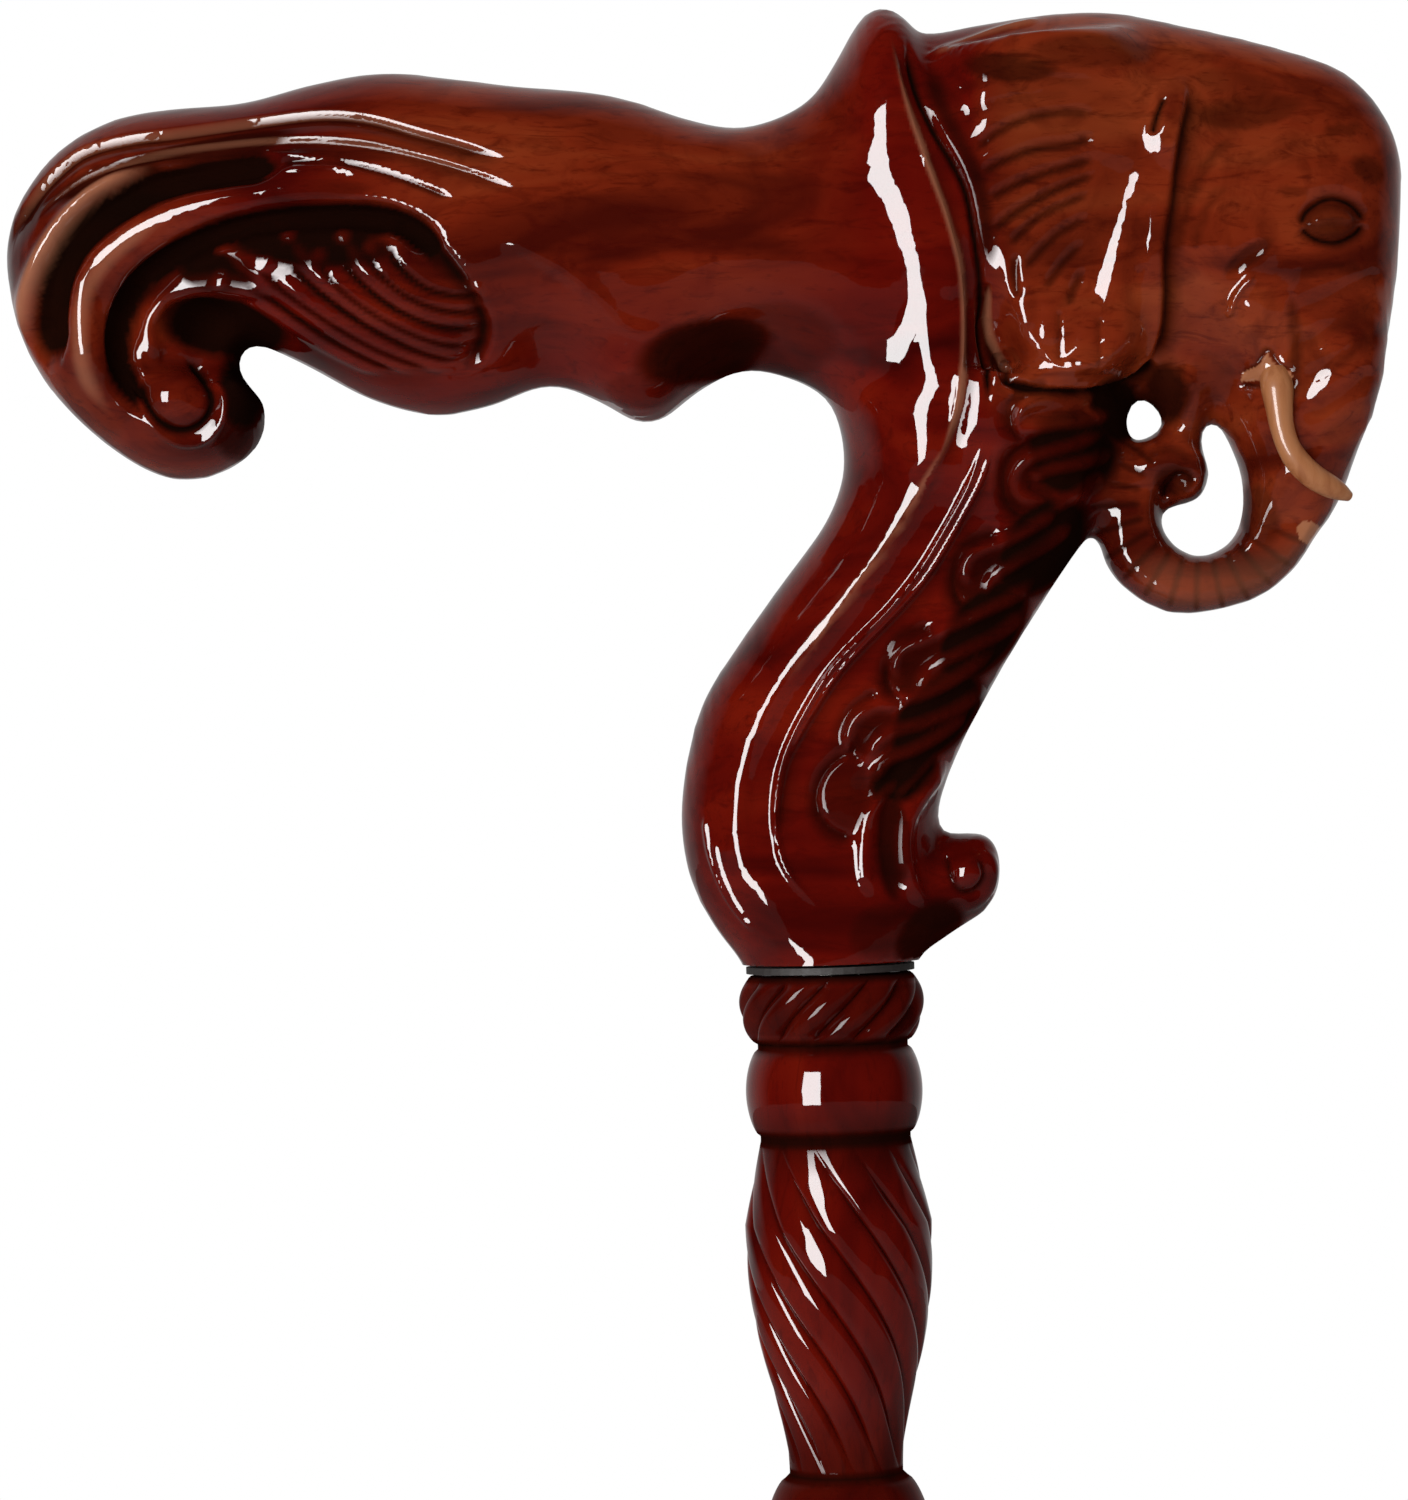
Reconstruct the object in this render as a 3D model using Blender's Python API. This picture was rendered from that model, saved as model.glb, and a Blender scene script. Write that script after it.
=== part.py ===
"""Carved walking stick: a palm grip handle that ends in an elephant's head, screwed to a carved shaft.

Metres, +Z up the shaft. The origin is the top of the grip, where the palm lies, +X points the way the
elephant looks, and both sides of the stick mirror each other in Y. The handle's outline is written in
outline units, from the middle of its seat, the flat face where it meets the shaft. An outline unit is about
a millimetre, and HANDLE_LENGTH sets it.
"""
from math import cos, pi, radians, sin

import bmesh
import bpy
import numpy as np
from mathutils import Vector

# Fits
FIT = 0.0003
SEAM_GAP = 0.0003

# Shaft
SHAFT_LENGTH = 0.794
JOINT_RADIUS = 0.0104
FOOT_RADIUS = 0.0080
TAPER_TOP_RADIUS = 0.0098
SHAFT_SIDES = 48

BEAD_HEIGHT = 0.0082
BEAD_RADIUS = 0.0112
BALL_HEIGHT = 0.0104
BALL_RADIUS = 0.0105
BULGE_STEPS = 6
BULGE_POWER = 0.6
NECKING_HEIGHT = 0.0006
NECKING_RADIUS = 0.0090
BEAD_TOP_RADIUS = 0.0096
LOWER_BALL_TOP_RADIUS = 0.0074
VASE_HEIGHT = 0.0400
VASE_SHOULDER_RADIUS = 0.0111
VASE_FOOT_RADIUS = 0.0068
SHOULDER_DEPTH = 0.0100
SHOULDER_STEPS = 3
VASE_STEPS = 7
VASE_FALL_POWER = 1.35

FLUTES = 12
BEAD_FLUTE_DEPTH = 0.0008
BEAD_LEAD = -0.059
VASE_FLUTE_DEPTH = 0.0008
VASE_LEAD = 0.096

# Joint between shaft and handle
THREAD_RADIUS = 0.0040
THREAD_PITCH = 0.00125
THREAD_DEPTH = 0.00065
THREAD_LENGTH = 0.0150
THREAD_SIDES = 16
STUD_GLUED_LENGTH = 0.0220
STUD_GROOVES = 2
STUD_GROOVE_DEPTH = 0.0005
INSERT_RADIUS = 0.0058
INSERT_LENGTH = 0.0170
INSERT_GROOVES = 3
INSERT_GROOVE_DEPTH = 0.0005
STUD_END_ROOM = 0.0020
WASHER_THICKNESS = 0.0008

# Rubber tip
SOLE_RADIUS = 0.0145
SOLE_THICKNESS = 0.0080
SOCKET_DEPTH = 0.0340
TIP_TOP_RADIUS = 0.0113
TIP_WAIST_RADIUS = 0.0118
TIP_SIDES = 32
SOLE_GROOVE_RADIUS = 0.0100
SOLE_GROOVE_WIDTH = 0.0020
SOLE_GROOVE_DEPTH = 0.0010
TIP_RIBS = 3
TIP_RIB_START = 0.0032
TIP_RIB_HEIGHT = 0.0022
TIP_RIB_EDGE = 0.0006
TIP_RIB_DEPTH = 0.0007
TIP_WASHER_THICKNESS = 0.0015

# Handle, from the scroll's back to the elephant's forehead, and that length in outline units
HANDLE_LENGTH = 0.1673
OUTLINE_LENGTH = 167.3
UNIT = HANDLE_LENGTH / OUTLINE_LENGTH

# The palm's place on top of the grip, as x and z in outline units
PALM_X = -45.0
PALM_Z = 107.8

# Each strip is a row of crosswise lines, as x and z at one edge, x and z at the other edge, and half the
# thickness there. The neck starts as a stub under the seat, which the seat's cut takes off.
SEAT = JOINT_RADIUS / UNIT
STUB = 3.0
STUB_RADIUS = SEAT - 0.4
NECK = [
    (-STUB_RADIUS, -STUB, STUB_RADIUS, -STUB, STUB_RADIUS),
    (-SEAT, 0.0, SEAT, 0.0, SEAT),
    (-13.4, 4.0, 12.8, 2.6, 11.0),
    (-16.2, 9.5, 13.4, 8.6, 11.6),
    (-17.4, 15.5, 13.0, 14.5, 12.1),
    (-17.0, 22.0, 14.4, 20.5, 12.6),
    (-14.6, 31.0, 16.6, 25.5, 13.0),
    (-10.4, 37.6, 18.8, 29.5, 13.4),
    (-4.2, 45.8, 22.4, 35.5, 13.8),
    (0.8, 52.2, 27.4, 43.0, 14.0),
    (3.2, 57.5, 33.0, 50.8, 14.2),
    (3.5, 62.0, 37.0, 57.0, 14.4),
    (2.4, 67.0, 37.4, 62.0, 14.8),
    (1.0, 72.0, 38.0, 67.0, 15.2),
]
COLLAR = [
    (2.6, 49.0, 16.0, 44.0, 10.0),
    (4.6, 57.0, 21.0, 55.0, 13.2),
    (3.4, 67.0, 23.6, 67.0, 14.2),
    (1.0, 78.0, 24.0, 78.0, 14.4),
    (0.5, 90.0, 22.0, 90.0, 14.4),
    (2.0, 100.0, 19.0, 100.0, 14.0),
    (4.2, 107.5, 16.0, 107.0, 12.4),
    (6.6, 112.0, 13.4, 111.6, 9.0),
    (8.4, 114.2, 11.2, 114.0, 4.0),
]
GRIP = [
    (12.4, 110.0, 19.4, 64.0, 15.2),
    (8.0, 110.6, 12.0, 61.0, 15.2),
    (4.6, 108.5, 6.0, 62.0, 15.2),
    (0.6, 103.2, 1.4, 68.0, 15.1),
    (-7.0, 100.3, -7.0, 71.3, 15.0),
    (-14.0, 101.6, -13.0, 69.2, 14.9),
    (-20.0, 103.9, -19.5, 65.0, 15.0),
    (-26.0, 105.3, -25.5, 68.0, 15.2),
    (-33.0, 106.0, -31.5, 70.2, 15.4),
    (-41.0, 107.2, -38.5, 67.9, 15.8),
    (-50.0, 108.3, -45.5, 67.0, 15.8),
    (-58.5, 107.2, -53.0, 69.2, 15.4),
    (-67.0, 105.2, -60.0, 73.2, 14.6),
    (-75.0, 104.8, -65.5, 76.0, 13.8),
    (-83.0, 103.6, -70.0, 77.5, 13.0),
    (-90.5, 99.0, -73.0, 78.5, 12.4),
    (-95.4, 91.0, -75.5, 78.5, 12.0),
    (-95.4, 81.5, -76.5, 77.0, 11.6),
    (-92.0, 72.8, -76.5, 76.0, 11.2),
    (-85.5, 65.4, -76.0, 75.0, 10.8),
    (-78.0, 60.6, -74.5, 74.6, 10.4),
    (-71.4, 60.8, -72.4, 74.4, 10.0),
    (-66.4, 64.4, -70.4, 74.2, 9.6),
    (-65.6, 69.2, -69.8, 73.8, 9.2),
]
SCROLL_WEB = [
    (-80.0, 84.0, -80.0, 70.0, 8.0),
    (-75.0, 84.0, -75.0, 70.0, 8.0),
    (-69.4, 82.0, -69.4, 73.4, 7.0),
    (-68.6, 81.0, -68.6, 76.0, 6.0),
]
HEAD = [
    (13.0, 110.4, 20.0, 68.0, 14.2),
    (25.0, 112.2, 27.0, 67.2, 14.4),
    (36.0, 112.9, 36.0, 67.0, 14.4),
    (47.0, 110.6, 41.0, 66.8, 14.0),
    (57.0, 107.9, 44.0, 66.6, 13.4),
    (65.8, 104.2, 46.0, 66.4, 12.7),
    (71.0, 96.5, 47.4, 66.0, 12.0),
    (71.3, 87.5, 48.0, 65.4, 11.3),
    (70.0, 76.5, 48.6, 64.2, 10.6),
    (67.6, 66.0, 49.6, 61.0, 9.8),
    (65.0, 58.6, 51.0, 57.8, 9.0),
    (62.6, 52.8, 51.4, 54.6, 8.4),
    (60.0, 49.4, 51.2, 52.0, 7.8),
    (57.2, 45.4, 50.2, 49.4, 7.4),
    (53.0, 42.2, 48.6, 48.0, 7.0),
    (47.6, 40.7, 46.6, 47.3, 6.8),
    (42.4, 40.5, 44.4, 47.5, 6.6),
    (37.8, 42.8, 42.6, 48.8, 6.4),
    (34.6, 46.6, 41.4, 51.0, 6.2),
    (34.0, 51.6, 41.1, 53.2, 6.0),
    (34.8, 56.6, 41.6, 55.6, 5.8),
    (37.6, 60.4, 43.4, 56.0, 5.6),
    (42.4, 62.2, 43.8, 55.8, 5.4),
    (46.2, 60.6, 43.2, 55.6, 5.2),
    (47.4, 57.2, 42.8, 56.0, 5.0),
    (46.2, 54.2, 42.8, 56.6, 4.8),
    (43.6, 52.8, 42.6, 56.0, 4.6),
]
EAR = [
    (14.0, 108.0, 41.0, 110.4, 14.0),
    (14.6, 103.0, 44.0, 104.6, 17.4),
    (16.2, 96.0, 42.6, 96.0, 18.6),
    (17.6, 88.0, 41.6, 87.0, 18.8),
    (19.2, 80.0, 41.0, 78.0, 18.6),
    (21.4, 73.0, 40.4, 71.4, 17.6),
    (25.0, 69.0, 37.0, 68.4, 15.0),
]
JAW = [
    (39.0, 70.0, 50.4, 70.0, 7.5),
    (39.8, 67.0, 48.8, 67.0, 6.8),
    (41.6, 64.8, 47.4, 64.8, 5.8),
    (43.0, 63.0, 46.6, 63.0, 5.0),
    (43.2, 61.2, 46.2, 61.2, 4.4),
]
CURL = [
    (6.0, 9.0, 12.4, 1.4, 8.0),
    (10.0, 11.0, 15.4, 3.4, 6.6),
    (13.2, 13.8, 18.2, 5.0, 5.8),
    (15.2, 15.0, 20.4, 7.8, 5.4),
    (17.8, 15.2, 20.8, 11.2, 4.4),
    (19.4, 14.6, 20.6, 13.0, 2.4),
]

# How finely strips, rings and carved lines are divided, the size of the melted body's cells, how it is
# smoothed before and after the carving, what share of its faces stays, and the share of a carved line over
# which each of its ends fades, and how much of a normal must point sideways for the carving to start and to
# reach its full depth, which leaves the outline as it is
STRIP_STEPS = 4
RING_POINTS = 20
VOXEL = 0.0009
SMOOTH_PASSES = 3
SMOOTH_FACTOR = 0.5
EASE_PASSES = 2
KEPT_SHARE = 0.09
LINE_STEPS = 4
ENDS = 0.1
EDGE_FACING = 0.1
FACE_FACING = 0.4

# The carving's main forms on the handle's faces, the same on both sides, in outline units. The finer lines
# are left out. A form's right and left are those of someone who walks along it in the outline.

# Flat faces, on the right of a line's way: half thickness at the line's start and end, how much the face
# thins for each unit from the line, how far it reaches, then x and z along the line. FLAT_RISE says how late
# along the line the thickness grows, FLAT_FADE over how much of its reach a face ends, FLAT_EDGE how softly
# it starts at the line, and FLAT_BLEND how softly it meets the round body.
FLATS = [
    (10.3, 14.0, 0.08, 26.0, [(-7, -3), (-9.2, 4), (-10.6, 11), (-10.9, 15.5), (-10.4, 20), (-9.4, 25),
                              (-7.6, 29.2), (-5, 33.3), (-1.5, 37.5), (2, 41.8), (5, 45.5), (8.8, 50.4),
                              (12.6, 56.3), (15.2, 60.6), (17.4, 66)]),
    (14.3, 14.3, 0.02, 25.0, [(26, 66), (24.4, 70), (22, 76), (21, 82), (20, 90), (18.6, 96), (16, 103),
                              (14, 110)]),
]
FLAT_RISE = 1.7
FLAT_FADE = 3.0
FLAT_EDGE = 1.6
FLAT_BLEND = 0.3

# Ledges stand over what lies on the right of their way, which climbs back over the fall:
# drop, fall, how softly the ledge rounds over, then x and z along it
LEDGES = [
    (1.2, 2.8, 0.45, [(-96, 87), (-95.2, 91), (-93, 94.8), (-90, 98), (-86.5, 100.4), (-81, 101.7),
                      (-75, 102.3), (-66, 103.3), (-58, 103.9), (-52, 103.2), (-46, 101.3), (-41, 99.7),
                      (-34, 97)]),
    (0.9, 2.2, 0.45, [(-93.4, 91), (-90.4, 94.6), (-86.6, 97.2), (-81, 99), (-76, 100), (-70, 100.6),
                      (-64, 100.9), (-58, 100.7), (-52, 99.9), (-45, 98.1), (-39, 96), (-33, 93.4)]),
    (1.7, 9.0, 0.8, [(-70, 91.6), (-64, 92.9), (-57, 93.2), (-51, 92.8), (-47, 90.9), (-44, 87.4),
                     (-41.2, 83.6), (-39.2, 80), (-38.4, 77), (-39.4, 73.8), (-42.5, 71.6)]),
    (0.9, 2.6, 0.35, [(13.4, 57.2), (15.6, 61), (17.3, 65.4), (18.2, 70), (18.6, 75), (18.6, 80),
                     (18.2, 84), (16.9, 89.5), (15, 95.2), (13.2, 101), (12, 105.6), (10.8, 111)]),
    (1.8, 4.2, 0.5, [(40.2, 69.6), (42, 73.5), (42.6, 78), (42.7, 82), (43, 86), (43.7, 90), (44.4, 94),
                     (45, 98), (45.9, 101.5), (46.2, 104.2)]),
    (1.2, 2.4, 0.3, [(14.4, 108), (15.4, 103), (17, 98.6), (18.8, 95), (19.6, 91.6), (20.2, 87.4),
                     (21, 84), (22, 81.4), (21.6, 78.6), (21.7, 75.4), (22.6, 72.4), (24.2, 70)]),
    (1.8, 3.4, 0.3, [(22.4, 71), (24.6, 69.4), (27.4, 68.3), (31, 67.7), (35, 67.8), (38.6, 69),
                     (41.4, 71.4)]),
    (1.2, 2.6, 0.45, [(29, 67.6), (25.8, 66.8), (24.3, 65), (24.5, 63), (26, 61.4)]),
    (1.4, 2.8, 0.45, [(27.6, 61.4), (24.2, 59.6), (23.1, 56.8), (23.8, 54), (26.4, 52)]),
    (1.4, 2.8, 0.45, [(22.4, 50.2), (18.7, 48.8), (17, 46.2), (17, 43.4), (18.9, 40.8)]),
    (1.4, 2.8, 0.45, [(14, 39.4), (10.2, 37.4), (8.5, 35), (8.6, 32.4), (10.6, 30.6)]),
    (1.1, 2.4, 0.45, [(7.4, 31.8), (4.2, 30), (2.8, 27.6), (3.1, 25.4), (5.2, 24.2)]),
    (1.2, 2.6, 0.45, [(5.4, 25.6), (1.6, 23.6), (-0.3, 21), (-0.5, 18.4), (0.9, 16.2), (3.8, 14.8)]),
]
LEDGE_CLIMB = 1.4

# Broad ledges of the collar and the neck, written the same way
TERRACES = [
    (1.15, 40.0, 2.5, [(4.4, 106), (5.6, 103), (8.6, 95), (10.8, 90), (12.2, 85), (13, 80), (13.1, 75),
                       (12.5, 70), (11, 65), (9.6, 61.6)]),
    (0.9, 26.0, 0.6, [(-9.6, 9), (-10.6, 15.5), (-10.4, 20), (-9.4, 25), (-7.6, 29.2), (-5, 33.3),
                     (-1.5, 37.5), (2, 41.8), (5, 45.5), (8.8, 50.4), (12.6, 56.3), (15.2, 60.6)]),
]

# Flat-floored channels of the scroll: depth, half width, then x and z along the middle
CHANNELS = [
    (2.6, 2.8, [(-61, 98.2), (-68, 97.8), (-76.2, 96.4), (-82.7, 93.6), (-87.6, 89.8), (-90.2, 85.6),
                (-91.3, 81.2), (-91.4, 77), (-90.6, 73.2)]),
    (2.7, 2.2, [(-43.6, 82.6), (-45, 87), (-48.2, 90), (-52.5, 91.2), (-58, 91.5), (-64, 91.1),
                (-70, 89.7), (-75.6, 87.2), (-80, 83.6), (-82.4, 79), (-82.6, 74.6), (-81.2, 70.6),
                (-78.8, 67)]),
]
CHANNEL_FLOOR = 0.45

# Rounded folds: height, half width, then x and z along the crest
FOLDS = [
    (1.2, 1.9, [(-63, 81.8), (-69, 83.4), (-74, 83.4), (-77.6, 82), (-79.3, 79), (-78.9, 75.8),
                (-78.4, 73)]),
    (0.6, 1.2, [(15.8, 62), (12.6, 56.3), (8.8, 50.4), (5, 45.5), (2, 41.8), (-1.5, 37.5), (-5, 33.3),
                (-7.6, 29.2), (-9.4, 25), (-10.4, 20), (-10.5, 15.5), (-9.6, 11), (-8.4, 8)]),
    (1.1, 1.4, [(12, 21), (10.7, 18.4), (9.8, 15.4), (9.6, 12.4), (10.2, 9.4), (12, 6.6)]),
    (1.1, 2.4, [(44.4, 103.4), (42.2, 101), (41, 97.5), (40.2, 94), (39, 90.5), (37.6, 86.5),
                (36.4, 82), (35.8, 78)]),
]

# Broad swells and hollows: x, z, half length, half height, tilt in degrees, height
SWELLS = [
    (-76.4, 71.0, 4.2, 4.4, 0.0, 2.0),
    (-20.5, 71.0, 7.5, 6.5, 0.0, 1.6),
    (-31.0, 74.0, 7.0, 5.0, 0.0, -1.0),
    (-8.0, 73.4, 8.0, 6.6, 0.0, -1.4),
    (17.0, 10.4, 3.2, 3.2, 0.0, 1.1),
    (1.9, 18.7, 3.2, 3.8, 20.0, 1.0),
    (27.8, 64.6, 3.0, 1.6, 10.0, -1.0),
    (27.0, 57.0, 3.2, 2.6, 25.0, -1.4),
    (20.8, 45.6, 3.2, 2.4, 35.0, -1.3),
    (12.6, 35.0, 3.2, 2.4, 35.0, -1.3),
    (6.8, 28.2, 2.8, 1.9, 30.0, -1.0),
    (5.0, 20.4, 2.2, 3.0, -20.0, -1.4),
    (-72.9, 78.8, 5.4, 3.9, -12.0, -3.8),
]

# Tusks: x and z in the handle's outline, distance from the middle plane, and radius, in outline units
TUSK = [
    (54.7, 68.2, 8.4, 1.9),
    (54.8, 66.4, 9.4, 1.95),
    (54.9, 64.2, 9.8, 1.65),
    (55.1, 62.0, 10.0, 1.45),
    (55.7, 59.8, 10.0, 1.4),
    (56.8, 57.8, 9.8, 1.5),
    (58.6, 56.0, 9.3, 1.5),
    (60.6, 54.8, 8.4, 1.4),
    (62.0, 54.1, 7.6, 1.1),
    (63.2, 53.5, 6.8, 0.6),
]
TUSK_SIDES = 10
TUSK_STEPS = 2

# Places, worked out from the sizes above
AXIS_X = -PALM_X * UNIT
HANDLE_SEAT = -PALM_Z * UNIT
WASHER_FLOOR = HANDLE_SEAT - SEAM_GAP - WASHER_THICKNESS
SHAFT_TOP = WASHER_FLOOR - SEAM_GAP
SHAFT_FLOOR = SHAFT_TOP - SHAFT_LENGTH
TIP_WASHER_FLOOR = SHAFT_FLOOR - FIT - TIP_WASHER_THICKNESS
SOLE_FLOOR = TIP_WASHER_FLOOR - FIT - SOLE_THICKNESS
STUD_RISE = HANDLE_SEAT - SHAFT_TOP
HANDLE_BORE_DEPTH = INSERT_LENGTH + STUD_END_ROOM
SEAT_CUT_RADIUS = 2 * JOINT_RADIUS
SEAT_CUT_DEPTH = 2 * STUB * UNIT


def material(name, colour, roughness, metallic=0.0):
    """A plain Principled material."""
    made = bpy.data.materials.new(name)
    made.use_nodes = True
    shader = made.node_tree.nodes["Principled BSDF"]
    shader.inputs["Base Color"].default_value = (*colour, 1.0)
    shader.inputs["Roughness"].default_value = roughness
    shader.inputs["Metallic"].default_value = metallic
    return made


def empty(name, height):
    """A named point on the stick's axis that carries one moving group."""
    made = bpy.data.objects.new(name, None)
    made.location = (AXIS_X, 0.0, height)
    bpy.context.scene.collection.objects.link(made)
    return made


def place(name, bm, look, parent):
    """Turn a bmesh into a smooth-shaded object on its group's empty."""
    bmesh.ops.recalc_face_normals(bm, faces=bm.faces)
    mesh = bpy.data.meshes.new(name)
    bm.to_mesh(mesh)
    bm.free()
    mesh.shade_smooth()
    mesh.set_sharp_from_angle(angle=radians(35))
    made = bpy.data.objects.new(name, mesh)
    bpy.context.scene.collection.objects.link(made)
    made.parent = parent
    if look:
        mesh.materials.append(look)
    return made


def hide_cutter(cutter):
    """Keep a cutter out of the model."""
    cutter.hide_render = True
    cutter.display_type = "WIRE"


def add_ring(bm, points):
    """One closed row of vertices."""
    return [bm.verts.new(point) for point in points]


def bridge(bm, low, high):
    """Faces between two rows with the same number of vertices."""
    count = len(low)
    for i in range(count):
        j = (i + 1) % count
        bm.faces.new((low[i], low[j], high[j], high[i]))


def lathe(bm, profile, sides, radius_at=None, turn_at=None):
    """Turn a profile of radius and height pairs about Z; its ends lie on the axis or close flat."""
    rings = []
    for radius, height in profile:
        turn = turn_at(height) if turn_at else 0.0
        points = []
        for i in range(sides):
            reach = radius_at(radius, height, i) if radius_at else radius
            angle = 2 * pi * i / sides + turn
            points.append((reach * cos(angle), reach * sin(angle), height))
        rings.append(add_ring(bm, points))
    for low, high in zip(rings[:-1], rings[1:]):
        bridge(bm, low, high)
    return rings


def arc(low_radius, high_radius, bulge_radius, low, high, steps=BULGE_STEPS):
    """Profile points of a rounded bulge between two radii."""
    points = []
    for i in range(steps + 1):
        share = i / steps
        base = low_radius + (high_radius - low_radius) * share
        swell = (bulge_radius - max(low_radius, high_radius)) * sin(pi * share) ** BULGE_POWER
        points.append((base + swell, low + (high - low) * share))
    return points


def shaft_profile():
    """Outer profile of the shaft from its top face down, as radius and height below the top."""
    bead_end = BEAD_HEIGHT
    ball_start = bead_end + NECKING_HEIGHT
    ball_end = ball_start + BALL_HEIGHT
    vase_start = ball_end + NECKING_HEIGHT
    vase_end = vase_start + VASE_HEIGHT
    ball_two_start = vase_end + NECKING_HEIGHT
    ball_two_end = ball_two_start + BALL_HEIGHT
    taper_start = ball_two_end + NECKING_HEIGHT
    shoulder = vase_start + SHOULDER_DEPTH
    points = arc(BEAD_TOP_RADIUS, NECKING_RADIUS, BEAD_RADIUS, 0.0, bead_end)
    points += arc(NECKING_RADIUS, NECKING_RADIUS, BALL_RADIUS, ball_start, ball_end)
    points += arc(NECKING_RADIUS, VASE_SHOULDER_RADIUS, VASE_SHOULDER_RADIUS, vase_start, shoulder, SHOULDER_STEPS)
    points += vase_fall(shoulder, vase_end)[1:]
    points += arc(LOWER_BALL_TOP_RADIUS, NECKING_RADIUS, BALL_RADIUS, ball_two_start, ball_two_end)
    points.append((TAPER_TOP_RADIUS, taper_start))
    points.append((FOOT_RADIUS, SHAFT_LENGTH))
    return points


def vase_fall(start, end):
    """The vase's long side: nearly straight at first, then drawn in to its foot."""
    points = []
    for i in range(VASE_STEPS + 1):
        share = i / VASE_STEPS
        fall = (1 - cos(pi * share ** VASE_FALL_POWER)) / 2
        radius = VASE_SHOULDER_RADIUS + (VASE_FOOT_RADIUS - VASE_SHOULDER_RADIUS) * fall
        points.append((radius, start + (end - start) * share))
    return points


def flute_share(depth, start, end):
    """How deep the flutes are at a depth below the top, from 0 at the ends of a carved stretch to 1."""
    if depth <= start or depth >= end:
        return 0.0
    return min(1.0, 4 * min(depth - start, end - depth) / (end - start))


def carved_radius(radius, depth, side):
    """The radius with the rope bead's strands and the vase's flutes cut in."""
    vase_start = BEAD_HEIGHT + BALL_HEIGHT + 2 * NECKING_HEIGHT
    bead = BEAD_FLUTE_DEPTH * flute_share(depth, 0.0, BEAD_HEIGHT)
    vase = VASE_FLUTE_DEPTH * flute_share(depth, vase_start, vase_start + VASE_HEIGHT)
    per_flute = SHAFT_SIDES // FLUTES
    wave = (1 + cos(2 * pi * side / per_flute)) / 2
    return radius - (bead + vase) * wave


def carving_turn(depth):
    """How far the strands and flutes have wound round the shaft at a depth below its top."""
    vase_start = BEAD_HEIGHT + BALL_HEIGHT + 2 * NECKING_HEIGHT
    bead = min(depth, BEAD_HEIGHT)
    vase = min(max(depth - vase_start, 0.0), VASE_HEIGHT)
    return 2 * pi * (bead / BEAD_LEAD + vase / VASE_LEAD)


def make_shaft(look, parent):
    """The shaft, with the blind bore that the stud is glued into."""
    bm = bmesh.new()
    bore_radius = THREAD_RADIUS + FIT
    bore_depth = STUD_GLUED_LENGTH + FIT
    outer = shaft_profile()
    bore = lathe(bm, [(bore_radius, -bore_depth), (bore_radius, 0.0)], SHAFT_SIDES)
    rings = lathe(
        bm,
        [(radius, -depth) for radius, depth in outer],
        SHAFT_SIDES,
        radius_at=lambda radius, height, side: carved_radius(radius, -height, side),
        turn_at=lambda height: carving_turn(-height),
    )
    bridge(bm, bore[1], rings[0])
    bm.faces.new(bore[0])
    bm.faces.new(rings[-1])
    return place("shaft", bm, look, parent)


def thread_rings(bm, radius, start, end, phase_from):
    """A right-hand thread as a closed wall; returns its lowest and highest rows of vertices.

    The thread's crest lies on radius, its root one thread depth inside. phase_from is the height at which
    the crest crosses +X, so a stud and an insert that share it are in mesh.
    """
    turns_below = int((start - phase_from) / THREAD_PITCH) - 2
    rows = 2 * (int((end - start) / THREAD_PITCH) + 5)
    columns = []
    for i in range(THREAD_SIDES + 1):
        share = i / THREAD_SIDES
        angle = 2 * pi * share
        column = []
        for row in range(rows):
            height = phase_from + (turns_below + row / 2 + share) * THREAD_PITCH
            height = min(max(height, start), end)
            phase = ((height - phase_from) / THREAD_PITCH - share) % 1.0
            reach = radius - THREAD_DEPTH * (1 - abs(1 - 2 * phase))
            column.append((reach * cos(angle), reach * sin(angle), height))
        columns.append(column)
    made = {}

    def vertex(point):
        key = tuple(round(value * 1e7) for value in point)
        if key not in made:
            made[key] = bm.verts.new(point)
        return made[key]

    for left, right in zip(columns[:-1], columns[1:]):
        for row in range(rows - 1):
            corners = [vertex(left[row]), vertex(right[row]), vertex(right[row + 1]), vertex(left[row + 1])]
            corners = [v for i, v in enumerate(corners) if v not in corners[:i]]
            if len(corners) > 2 and not bm.faces.get(corners):
                bm.faces.new(corners)
    low = [vertex(column[0]) for column in columns[:-1]]
    high = [vertex(column[-1]) for column in columns[:-1]]
    return low, high


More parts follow.
